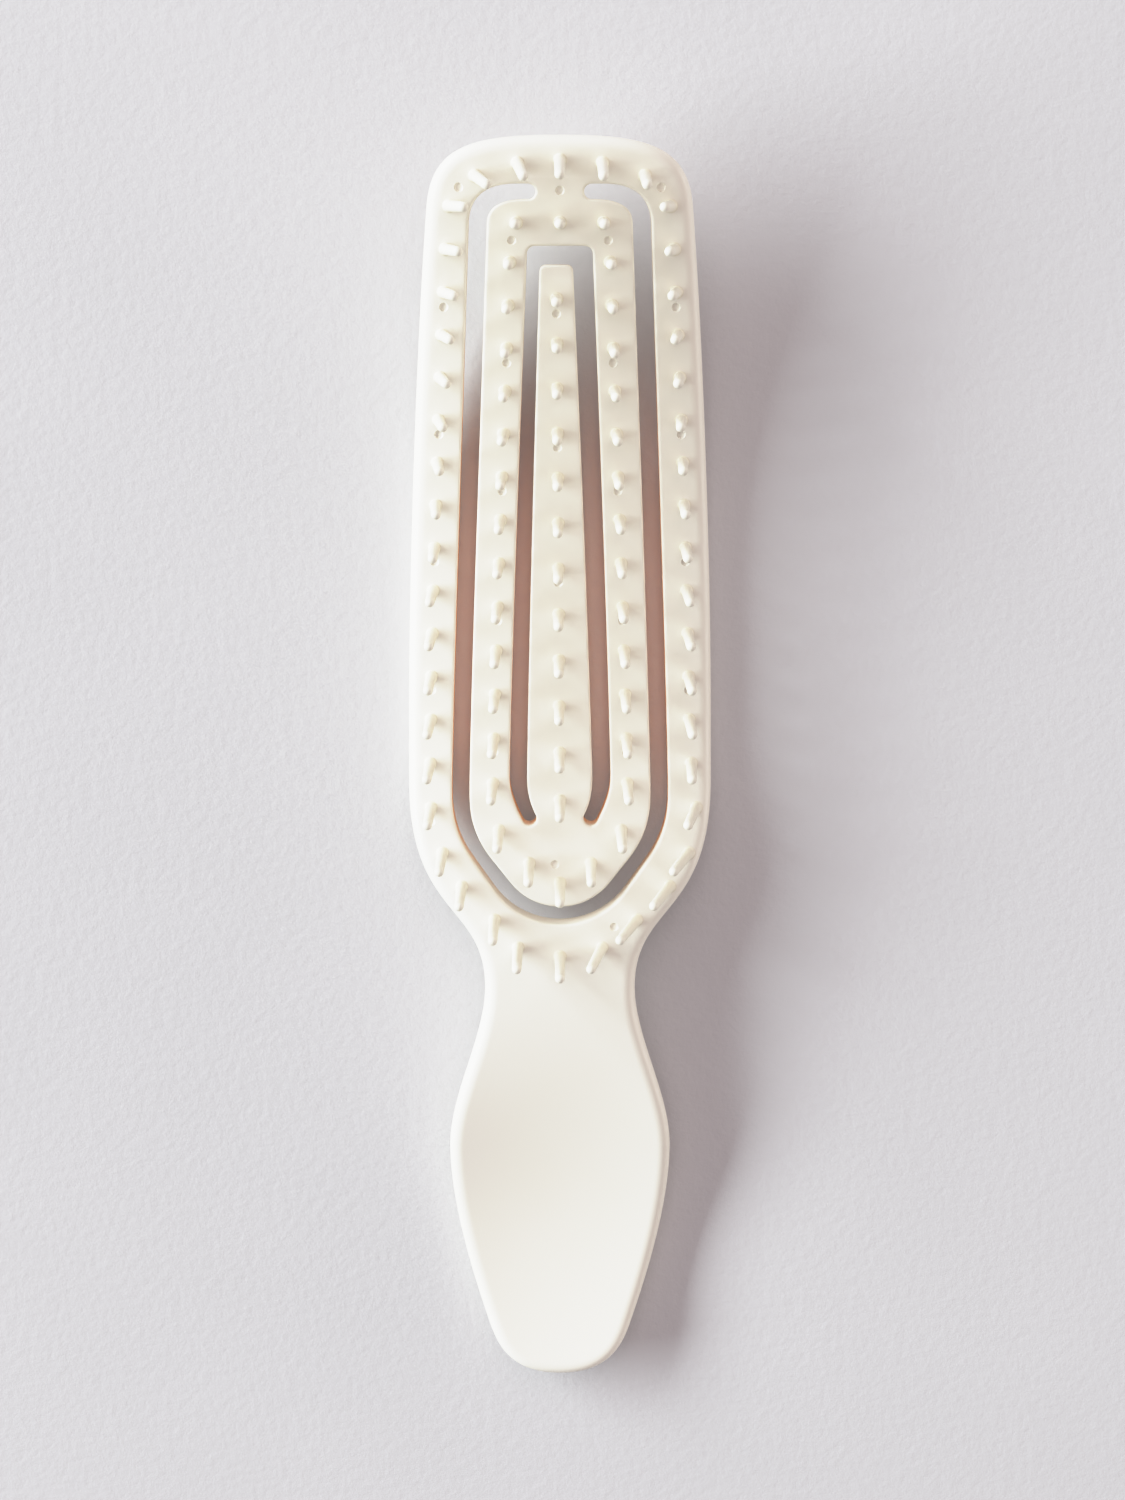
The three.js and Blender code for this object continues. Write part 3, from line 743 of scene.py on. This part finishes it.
def shown(name, surface, material):
    """Makes a surface into an object, smooth except at its sharp edges."""
    mesh = bpy.data.meshes.new(name)
    mesh.from_pydata((np.array(surface.corners) * MILLIMETRE).tolist(), [], surface.faces)
    if mesh.validate():
        raise RuntimeError(f"The mesh of {name} has faulty faces")
    # The painted glow and shade goes with the mesh as a point attribute
    mesh.attributes.new("warmth", "FLOAT", "POINT").data.foreach_set("value", surface.warmth)
    mesh.shade_smooth()
    mesh.set_sharp_from_angle(angle=SHARP_ANGLE)
    mesh.materials.append(material)
    piece = bpy.data.objects.new(name, mesh)
    bpy.context.scene.collection.objects.link(piece)
    return piece


# Rows of pins, each pin as its place and its lean to the right and towards the tip


def half_at(half, y):
    """Half width of an outline at a place along Y."""
    return float(np.interp(-y, -half[:, 1], half[:, 0]))


def spread(start, end, count):
    """Places from start to end, set a little closer at the start."""
    part = np.linspace(0.0, 1.0, count)
    return start + (end - start) * part * (1 - PIN_CROWDING * (1 - part))


def crown_row(pins):
    outline = body_half()
    top = outline[outline[:, 1] > CROWN_Y]
    row = []
    for place in CROWN_PLACES:
        x = place * CROWN_REACH
        outward = place**2
        edge_y = float(np.interp(abs(x), top[:, 0], top[:, 1]))
        y = edge_y - CROWN_INSET - CROWN_CORNER_INSET * outward
        lean = pins.crown_lean + (pins.crown_corner_lean - pins.crown_lean) * outward
        row.append((x, y, max(0.0, -place) * pins.crown_side_lean, -lean))
    return row


def rail_row(side, lean, neck_lean, neck_shift):
    """Pins down one rail; near the neck they can stand further out and lean back in."""
    outline = body_half()
    window = window_half()
    row = []
    for y in (*spread(RAIL_START_Y, RAIL_END_Y, RAIL_PINS), *RAIL_NECK_PINS_Y):
        near_crown = np.clip((y - CROWN_Y + RAIL_LEAN_SPAN) / RAIL_LEAN_SPAN, 0.0, 1.0)
        near_neck = np.clip((NECK_LEAN_START_Y - y) / NECK_LEAN_SPAN, 0.0, 1.0)
        x = side * ((half_at(outline, y) + half_at(window, y)) / 2 + neck_shift * near_neck)
        tilt = lean * near_crown + neck_lean * near_neck
        row.append((x, y, -side * tilt, 0.0))
    return row


def left_rail_row(pins):
    return rail_row(-1, pins.left_lean, 0.0, 0.0)


def right_rail_row(pins):
    return rail_row(1, pins.right_lean, pins.neck_lean, RIGHT_NECK_SHIFT)


def throat_row():
    low = WINDOW_BOTTOM_Y - THROAT_INSET
    places = ((-THROAT_REACH, 0.0), (0.0, 0.0), (THROAT_REACH, -THROAT_LEAN))
    return [(x, low + THROAT_RISE * (x / THROAT_REACH) ** 2, lean, 0.0) for x, lean in places]


def loop_crown_row():
    y = LOOP_TOP_Y - LOOP_BAND / 2
    return [(x, y, 0.0, 0.0) for x in (-LOOP_CROWN_REACH, 0.0, LOOP_CROWN_REACH)]


def loop_side_row(side):
    row = []
    for y in spread(LOOP_SIDE_START_Y, LOOP_SIDE_END_Y, LOOP_SIDE_PINS):
        middle = (loop_side(y) + loop_window_side(y)) / 2
        row.append((side * (middle - LOOP_SIDE_SHIFT), y, 0.0, 0.0))
    return row


def loop_chin_row():
    outline = loop_half()
    low = outline[outline[:, 1] < 0.0]
    right = [(half_at(low, y) - inset, y, 0.0, 0.0) for y, inset in CHIN_PINS]
    left = [(-x, y, 0.0, 0.0) for x, y, _, _ in reversed(right)]
    return right + [(0.0, LOOP_BOTTOM_Y + CHIN_LOW_PIN_RISE, 0.0, 0.0)] + left


def tongue_row():
    places = spread(TONGUE_ROW_START_Y, TONGUE_ROW_END_Y, TONGUE_ROW_PINS)
    return [(float(tongue_set(y)), y, 0.0, 0.0) for y in places]


def pits_below(row, first):
    """The round marks that lie below every third pin of a row, counted from the given one."""
    return [(x, y - PIT_DROP) for x, y, _, _ in row[first::PIT_EVERY]]


def pin_profile(pins):
    """Radius and height of each ring of a pin, from its sunk root to its tip."""
    base = pins.base_radius / MILLIMETRE
    tip = pins.tip_radius / MILLIMETRE
    fillet = pins.fillet / MILLIMETRE
    height = pins.length / MILLIMETRE
    profile = [(base + fillet, -pins.root / MILLIMETRE)]
    for angle in np.linspace(0.0, math.pi / 2, PIN_FILLET_RINGS):
        profile.append((base + fillet * (1 - math.sin(angle)), fillet * (1 - math.cos(angle))))
    for part in PIN_SHAFT_PARTS:
        profile.append((base + (tip - base) * part, fillet + (height - tip - fillet) * part))
    for angle in np.linspace(0.0, math.pi / 2, PIN_DOME_RINGS + 1)[:-1]:
        profile.append((tip * math.cos(angle), height - tip + tip * math.sin(angle)))
    return profile


def add_pin(surface, place, pins, plate):
    """Adds a pin whose foot follows the bent face and whose shaft stands along its lean."""
    x, y, lean_x, lean_y = place
    height = pins.length / MILLIMETRE
    floor = plate.thickness / MILLIMETRE
    level = math.cos(lean_x)
    axis = Vector((math.sin(lean_x), level * math.sin(lean_y), level * math.cos(lean_y)))
    lean = Vector((0, 0, 1)).rotation_difference(axis)
    angles = np.linspace(0.0, 2 * math.pi, pins.sides + 1)[:-1]
    rings = []
    for radius, rise in pin_profile(pins):
        turned = min(max(rise / PIN_TURN_HEIGHT, 0.0), 1.0)
        tilt = Quaternion().slerp(lean, turned)
        spots = [tilt @ Vector((radius * math.cos(a), radius * math.sin(a), 0.0)) for a in angles]
        centre = Vector((x, y, 0.0)) + axis * max(rise, 0.0)
        flat = np.array([(centre.x + spot.x, centre.y + spot.y) for spot in spots])
        rest = lift(flat[:, 0], flat[:, 1]) * (1 - turned) + float(lift(x, y)) * turned
        tall = floor + min(rise, 0.0) + centre.z + np.array([spot.z for spot in spots]) + rest
        # Painted warm shade at the foot of a pin, fading out up to the tip
        warmth = PIN_FOOT_PAINTED_SHADE * max(0.0, 1 - max(rise, 0.0) / height)
        rings.append(surface.add(flat, tall, warmth))
    surface.walls(rings)
    tip = Vector((x, y, floor + float(lift(x, y)))) + axis * height
    apex = surface.add([(tip.x, tip.y)], tip.z, 0.0)[0]
    surface.faces += [[a, b, apex] for a, b in zip(rings[-1], np.roll(rings[-1], -1))]
    surface.faces.append(rings[0][::-1].tolist())


def plate_member(name, edges, pits, context):
    """Makes a member of the bent plate."""
    scene = context.scene
    surface = plate_surface(edges, pits, scene.brush_plate)
    return shown(name, surface, cream_plastic(scene.brush_finish))


def pin_row(name, row, body, node, context):
    """Makes a row of pins that moves with a body and stands for a solid."""
    scene = context.scene
    surface = Surface()
    for place in row:
        add_pin(surface, place, scene.brush_pins, scene.brush_plate)
    piece = shown(name, surface, pin_plastic(scene.brush_finish))
    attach(piece, body)
    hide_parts(node)


# Finishes


def new_group(name, inputs, outputs):
    """An empty shader group with named sockets, and the nodes that hold its inputs and its outputs."""
    group = bpy.data.node_groups.new(name, "ShaderNodeTree")
    for label, kind, default in inputs:
        socket = group.interface.new_socket(label, in_out="INPUT", socket_type=kind)
        socket.default_value = default
    for label, kind in outputs:
        group.interface.new_socket(label, in_out="OUTPUT", socket_type=kind)
    return group, group.nodes.new("NodeGroupInput"), group.nodes.new("NodeGroupOutput")


def add_node(tree, kind, settings=None, **values):
    """Adds a node with plain settings and with values or links on its named sockets."""
    node = tree.nodes.new(kind)
    for key, value in (settings or {}).items():
        setattr(node, key, value)
    for label, value in values.items():
        socket = node.inputs[label.replace("_", " ")]
        if isinstance(value, bpy.types.NodeSocket):
            tree.links.new(value, socket)
        else:
            socket.default_value = value
    return node


def noise(tree, scale, detail, roughness=0.5):
    """Noise that keeps its place on a piece."""
    place = add_node(tree, "ShaderNodeTexCoord").outputs["Object"]
    values = {"Vector": place, "Scale": scale, "Detail": detail, "Roughness": roughness}
    return add_node(tree, "ShaderNodeTexNoise", **values).outputs["Fac"]


def multiplied(tree, first, second):
    """The product of two linked values."""
    node = add_node(tree, "ShaderNodeMath", {"operation": "MULTIPLY"})
    tree.links.new(first, node.inputs[0])
    tree.links.new(second, node.inputs[1])
    return node.outputs["Value"]


def mixed(tree, amount, first, second):
    """The first colour where the amount is 0, the second where it is 1."""
    return add_node(tree, "ShaderNodeMixRGB", Fac=amount, Color1=first, Color2=second).outputs["Color"]


def colour(rgb):
    return (*rgb, 1.0)


def tone_and_painted_glow():
    """Colour of the plastic, clouded and with painted glow and shade mixed in, and that painted glow on its
    own.
    """
    name = "Plastic tone"
    if name in bpy.data.node_groups:
        return bpy.data.node_groups[name]
    group, inputs, outputs = new_group(
        name,
        [
            ("Colour", "NodeSocketColor", (0.8, 0.8, 0.8, 1.0)),
            ("Cloud Colour", "NodeSocketColor", (0.7, 0.7, 0.7, 1.0)),
            ("Glow Colour", "NodeSocketColor", (0.8, 0.5, 0.2, 1.0)),
            ("Cloud Scale", "NodeSocketFloat", PLATE_CLOUD_SCALE),
            ("Cloud Amount", "NodeSocketFloat", 0.3),
            ("Warmth", "NodeSocketFloat", 0.0),
        ],
        [("Colour", "NodeSocketColor"), ("Glow", "NodeSocketColor")],
    )
    given = inputs.outputs
    billow = noise(group, given["Cloud Scale"], detail=4.0, roughness=0.55)
    cloud = add_node(group, "ShaderNodeMapRange", Value=billow, From_Min=0.35, From_Max=0.7)
    amount = multiplied(group, cloud.outputs["Result"], given["Cloud Amount"])
    clouded = mixed(group, amount, given["Colour"], given["Cloud Colour"])
    with_painted_glow = mixed(group, given["Warmth"], clouded, given["Glow Colour"])
    glow = mixed(group, given["Warmth"], colour((0.0, 0.0, 0.0)), given["Glow Colour"])
    group.links.new(with_painted_glow, outputs.inputs["Colour"])
    group.links.new(glow, outputs.inputs["Glow"])
    return group


def moulded_grain():
    """Fine grain of a moulded surface: its height, and a roughness that drifts over the piece."""
    name = "Moulded grain"
    if name in bpy.data.node_groups:
        return bpy.data.node_groups[name]
    group, inputs, outputs = new_group(
        name,
        [
            ("Grain Scale", "NodeSocketFloat", GRAIN_SCALE),
            ("Drift Scale", "NodeSocketFloat", DRIFT_SCALE),
            ("Smooth", "NodeSocketFloat", 0.36),
            ("Rough", "NodeSocketFloat", 0.5),
        ],
        [("Roughness", "NodeSocketFloat"), ("Height", "NodeSocketFloat")],
    )
    given = inputs.outputs
    rough = add_node(
        group,
        "ShaderNodeMapRange",
        Value=noise(group, given["Drift Scale"], detail=3.0),
        From_Min=0.3,
        From_Max=0.7,
        To_Min=given["Smooth"],
        To_Max=given["Rough"],
    )
    group.links.new(rough.outputs["Result"], outputs.inputs["Roughness"])
    group.links.new(noise(group, given["Grain Scale"], detail=2.0), outputs.inputs["Height"])
    return group


def shut_in(tree, warmth, reach):
    """A painted glow that stays where another surface is within reach, and fades where the walls part."""
    samples = {"samples": OPENNESS_SAMPLES}
    openness = add_node(tree, "ShaderNodeAmbientOcclusion", samples, Distance=reach)
    shut = add_node(
        tree,
        "ShaderNodeMapRange",
        Value=openness.outputs["AO"],
        From_Min=SHUT_OPENNESS,
        From_Max=OPEN_OPENNESS,
        To_Min=1.0,
        To_Max=0.0,
    )
    return multiplied(tree, warmth, shut.outputs["Result"])


def moulded_plastic(name, finish, colours, cloud_scale, grain_strength, reach=0.0):
    """A smooth moulded plastic, made once, with painted glow and shade, which glows if a reach is given."""
    if name in bpy.data.materials:
        return bpy.data.materials[name]
    material = bpy.data.materials.new(name)
    material.use_nodes = True
    tree = material.node_tree
    shader = tree.nodes["Principled BSDF"]
    base, cloud, glow = colours
    warmth = add_node(tree, "ShaderNodeAttribute", {"attribute_name": "warmth"}).outputs["Fac"]
    if reach:
        warmth = shut_in(tree, warmth, reach)
    tone = add_node(
        tree,
        "ShaderNodeGroup",
        {"node_tree": tone_and_painted_glow()},
        Colour=colour(base),
        Cloud_Colour=colour(cloud),
        Glow_Colour=colour(glow),
        Cloud_Scale=cloud_scale,
        Cloud_Amount=finish.cloud_amount,
        Warmth=warmth,
    )
    grain = add_node(
        tree,
        "ShaderNodeGroup",
        {"node_tree": moulded_grain()},
        Smooth=finish.roughness - SMOOTH_DRIFT,
        Rough=finish.roughness + ROUGH_DRIFT,
    )
    bump = add_node(
        tree,
        "ShaderNodeBump",
        Strength=grain_strength,
        Distance=GRAIN_HEIGHT * MILLIMETRE,
        Height=grain.outputs["Height"],
    )
    tree.links.new(tone.outputs["Colour"], shader.inputs["Base Color"])
    tree.links.new(grain.outputs["Roughness"], shader.inputs["Roughness"])
    tree.links.new(bump.outputs["Normal"], shader.inputs["Normal"])
    shader.inputs["IOR"].default_value = PLASTIC_IOR
    # Painted glow: the slot walls give off a little light
    if reach:
        tree.links.new(tone.outputs["Glow"], shader.inputs["Emission Color"])
        shader.inputs["Emission Strength"].default_value = finish.glow_strength
        material.cycles.emission_sampling = "NONE"
    return material


def cream_plastic(finish):
    colours = (finish.plate, finish.plate_cloud, finish.glow)
    reach = SLOT_REACH * MILLIMETRE
    return moulded_plastic("Cream plastic", finish, colours, PLATE_CLOUD_SCALE, PLATE_GRAIN, reach)


def pin_plastic(finish):
    # The painted warm shade at the pins' feet takes the cloud colour
    colours = (finish.pin, finish.pin_cloud_and_foot_shade, finish.pin_cloud_and_foot_shade)
    return moulded_plastic("Pin plastic", finish, colours, PIN_CLOUD_SCALE, PIN_GRAIN)


def paper(stage):
    """Matt paper with a fine, uneven tooth."""
    material = bpy.data.materials.new("Paper")
    material.use_nodes = True
    tree = material.node_tree
    shader = tree.nodes["Principled BSDF"]
    bump = add_node(
        tree,
        "ShaderNodeBump",
        Strength=TOOTH_STRENGTH,
        Distance=TOOTH_HEIGHT * MILLIMETRE,
        Height=noise(tree, TOOTH_SCALE, detail=5.0, roughness=0.62),
    )
    ramp = add_node(tree, "ShaderNodeValToRGB", Fac=noise(tree, FIBRE_SCALE, detail=3.0))
    for stop, (position, shade) in zip(ramp.color_ramp.elements, FIBRE_SHADES):
        stop.position = position
        stop.color = colour(np.array(stage.paper) * shade)
    tree.links.new(ramp.outputs["Color"], shader.inputs["Base Color"])
    tree.links.new(bump.outputs["Normal"], shader.inputs["Normal"])
    shader.inputs["Roughness"].default_value = 0.85
    shader.inputs["Specular IOR Level"].default_value = 0.2
    return material


# Operators


class BRUSH_OT_frame_plate(Operator):
    """Build the handle and the outer ring of the head"""

    bl_idname = "vent_brush.frame_plate"
    bl_label = "Handle and Frame"

    def execute(self, context):
        plate = context.scene.brush_plate
        step = plate.edge_step / MILLIMETRE
        rim = spaced(body_half(), step)
        window = spaced(window_half(), step)
        edges = [
            Edge(np.vstack([flip(rim), rim[-2:0:-1]]), [], plate.rim_round / MILLIMETRE, gets_painted_glow=False),
            Edge(
                np.vstack([window, flip(window)[-2::-1]]),
                cut_across(-BRIDGE_TAB_HALF, BRIDGE_TAB_Y),
                plate.slot_round / MILLIMETRE,
                gets_painted_glow=True,
            ),
        ]
        pits = list(FRAME_PITS)
        for side in (-1, 1):
            pits += pits_below(rail_row(side, 0.0, 0.0, 0.0)[:RAIL_PINS], first=2)
        piece = plate_member("frame_plate", edges, pits, context)
        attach(piece, "frame")
        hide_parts("handle_frame")
        return {"FINISHED"}


class BRUSH_OT_loop_plate(Operator):
    """Build the loop inside the frame, with the bridge that it bends at"""

    bl_idname = "vent_brush.loop_plate"
    bl_label = "Loop"

    def execute(self, context):
        plate = context.scene.brush_plate
        step = plate.edge_step / MILLIMETRE
        radius = plate.slot_round / MILLIMETRE
        outer = spaced(loop_half(), step)
        window = spaced(loop_window_half(), step)
        edges = [
            Edge(
                np.vstack([flip(outer), outer[-2::-1]]),
                cut_across(BRIDGE_TAB_HALF, BRIDGE_TAB_Y),
                radius,
                gets_painted_glow=True,
            ),
            Edge(
                np.vstack([flip(window)[::-1], window[1:]]),
                cut_across(HOOK_X, ROOT_TAB_Y),
                radius,
                gets_painted_glow=True,
            ),
        ]
        pits = list(LOOP_PITS)
        for side in (-1, 1):
            pits += pits_below(loop_side_row(side), first=2)
        piece = plate_member("loop_plate", edges, pits, context)
        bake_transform(piece)
        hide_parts("inner_loop", "loop_hinge_web")
        return {"FINISHED"}


class BRUSH_OT_tongue_plate(Operator):
    """Build the tongue inside the loop, with the root that it bends at"""

    bl_idname = "vent_brush.tongue_plate"
    bl_label = "Tongue"

    def execute(self, context):
        plate = context.scene.brush_plate
        outline = spaced(tongue_half(), plate.edge_step / MILLIMETRE)
        run = np.vstack([outline[::-1], flip(outline)[1:]])
        run[:, 0] += tongue_set(run[:, 1])
        edge = Edge(run, cut_across(-HOOK_X, ROOT_TAB_Y), plate.slot_round / MILLIMETRE, gets_painted_glow=True)
        piece = plate_member("tongue_plate", [edge], pits_below(tongue_row(), first=0), context)
        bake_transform(piece)
        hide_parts("centre_tongue", "tongue_hinge_web")
        return {"FINISHED"}


class BRUSH_OT_frame_pins(Operator):
    """Set the pins on the frame: crown, both rails and throat"""

    bl_idname = "vent_brush.frame_pins"
    bl_label = "Frame Pins"

    def execute(self, context):
        pins = context.scene.brush_pins
        pin_row("crown_pin_row", crown_row(pins), "frame", "crown_pins", context)
        pin_row("left_rail_pin_row", left_rail_row(pins), "frame", "left_rail_pins", context)
        pin_row("right_rail_pin_row", right_rail_row(pins), "frame", "right_rail_pins", context)
        pin_row("throat_pin_row", throat_row(), "frame", "throat_pins", context)
        return {"FINISHED"}


class BRUSH_OT_loop_pins(Operator):
    """Set the pins on the loop: crown, both sides and chin"""

    bl_idname = "vent_brush.loop_pins"
    bl_label = "Loop Pins"

    def execute(self, context):
        pin_row("loop_crown_pin_row", loop_crown_row(), "loop", "loop_crown_pins", context)
        pin_row("loop_left_pin_row", loop_side_row(-1), "loop", "loop_left_pins", context)
        pin_row("loop_right_pin_row", loop_side_row(1), "loop", "loop_right_pins", context)
        pin_row("loop_chin_pin_row", loop_chin_row(), "loop", "loop_chin_pins", context)
        return {"FINISHED"}


class BRUSH_OT_tongue_pins(Operator):
    """Set the pins on the tongue"""

    bl_idname = "vent_brush.tongue_pins"
    bl_label = "Tongue Pins"

    def execute(self, context):
        pin_row("tongue_pin_row", tongue_row(), "tongue", "tongue_pins", context)
        return {"FINISHED"}


class BRUSH_OT_stage(Operator):
    """Lay the paper and set up the light and the camera"""

    bl_idname = "vent_brush.stage"
    bl_label = "Stage"

    def execute(self, context):
        scene = context.scene
        stage = scene.brush_stage
        self.lay_paper(scene, stage)
        self.set_light(scene, stage)
        self.set_sky(scene, stage)
        self.set_camera(scene, stage)
        self.roll_off(scene.view_settings)
        return {"FINISHED"}

    def lay_paper(self, scene, stage):
        mesh = bpy.data.meshes.new("paper_floor")
        half = PAPER_HALF * MILLIMETRE
        corners = [(-half, -half, 0), (half, -half, 0), (half, half, 0), (-half, half, 0)]
        mesh.from_pydata(corners, [], [(0, 1, 2, 3)])
        mesh.materials.append(paper(stage))
        floor = bpy.data.objects.new("paper_floor", mesh)
        scene.collection.objects.link(floor)

    def set_light(self, scene, stage):
        level = math.cos(stage.window_rise)
        beam = Vector((
            level * math.cos(stage.window_turn),
            -level * math.sin(stage.window_turn),
            -math.sin(stage.window_rise),
        ))
        lights = (
            ("window", -stage.window_distance * beam, (stage.window_width, stage.window_height)),
            ("card", Vector(CARD_PLACE), CARD_SIZE),
            ("ceiling", Vector(CEILING_PLACE), CEILING_SIZE),
        )
        for name, place, size in lights:
            light = bpy.data.lights.new(name, "AREA")
            light.shape = "RECTANGLE"
            light.size, light.size_y = size
            light.energy = getattr(stage, f"{name}_power")
            light.color = getattr(stage, f"{name}_tint")
            lamp = bpy.data.objects.new(name, light)
            lamp.location = place
            lamp.rotation_euler = (-place).to_track_quat("-Z", "Y").to_euler()
            scene.collection.objects.link(lamp)

    def set_sky(self, scene, stage):
        """Soft light from all round, with the paper's colour where the camera looks past the paper."""
        world = bpy.data.worlds.new("Soft room")
        world.use_nodes = True
        tree = world.node_tree
        sky = tree.nodes["Background"]
        sky.inputs["Color"].default_value = colour(stage.sky)
        sky.inputs["Strength"].default_value = stage.sky_strength
        backdrop = add_node(tree, "ShaderNodeBackground", Color=colour(stage.paper))
        rays = add_node(tree, "ShaderNodeLightPath")
        seen = add_node(tree, "ShaderNodeMixShader", Fac=rays.outputs["Is Camera Ray"])
        tree.links.new(sky.outputs["Background"], seen.inputs[1])
        tree.links.new(backdrop.outputs["Background"], seen.inputs[2])
        tree.links.new(seen.outputs["Shader"], tree.nodes["World Output"].inputs["Surface"])
        scene.world = world

    def set_camera(self, scene, stage):
        camera = bpy.data.cameras.new("camera")
        camera.lens = stage.lens
        camera.sensor_width = 36.0
        view = bpy.data.objects.new("camera", camera)
        view.location = CAMERA_PLACE
        view.rotation_euler = (CAMERA_TILT, 0.0, 0.0)
        scene.collection.objects.link(view)
        scene.camera = view

    def roll_off(self, view):
        """Keeps the brightest edges below white, as the photo does."""
        view.view_transform = "Standard"
        view.use_curve_mapping = True
        mapping = view.curve_mapping
        mapping.white_level = (WHITE_LEVEL, WHITE_LEVEL, WHITE_LEVEL)
        shoulder = mapping.curves[ALL_CHANNELS]
        shoulder.points[-1].location = (1.0, WHITE_TONE)
        for bright, tone in TONES:
            shoulder.points.new(bright / WHITE_LEVEL, tone)
        mapping.update()


class BRUSH_PT_panel(Panel):
    """The pieces of the brush and their settings"""

    bl_label = "Vent Brush"
    bl_idname = "BRUSH_PT_panel"
    bl_space_type = "VIEW_3D"
    bl_region_type = "UI"
    bl_category = "Vent Brush"

    def draw(self, context):
        for operator in OPERATORS:
            self.layout.operator(operator.bl_idname)
        for holder in SETTINGS:
            group = getattr(context.scene, holder)
            box = self.layout.box()
            for key in group.bl_rna.properties.keys():
                if key not in {"rna_type", "name"}:
                    box.prop(group, key)


SETTINGS = {
    "brush_plate": PlateSizes,
    "brush_pins": PinSizes,
    "brush_finish": FinishSettings,
    "brush_stage": StageSettings,
}
OPERATORS = (
    BRUSH_OT_frame_plate,
    BRUSH_OT_loop_plate,
    BRUSH_OT_tongue_plate,
    BRUSH_OT_frame_pins,
    BRUSH_OT_loop_pins,
    BRUSH_OT_tongue_pins,
    BRUSH_OT_stage,
)


def register():
    for group in SETTINGS.values():
        bpy.utils.register_class(group)
    for holder, group in SETTINGS.items():
        setattr(bpy.types.Scene, holder, PointerProperty(type=group))
    for operator in OPERATORS:
        bpy.utils.register_class(operator)
    bpy.utils.register_class(BRUSH_PT_panel)


def unregister():
    bpy.utils.unregister_class(BRUSH_PT_panel)
    for operator in reversed(OPERATORS):
        bpy.utils.unregister_class(operator)
    for holder, group in SETTINGS.items():
        delattr(bpy.types.Scene, holder)
        bpy.utils.unregister_class(group)


def main():
    register()
    bpy.ops.vent_brush.frame_plate()
    bpy.ops.vent_brush.loop_plate()
    bpy.ops.vent_brush.tongue_plate()
    bpy.ops.vent_brush.frame_pins()
    bpy.ops.vent_brush.loop_pins()
    bpy.ops.vent_brush.tongue_pins()
    bpy.ops.vent_brush.stage()


if __name__ == "__main__":
    main()
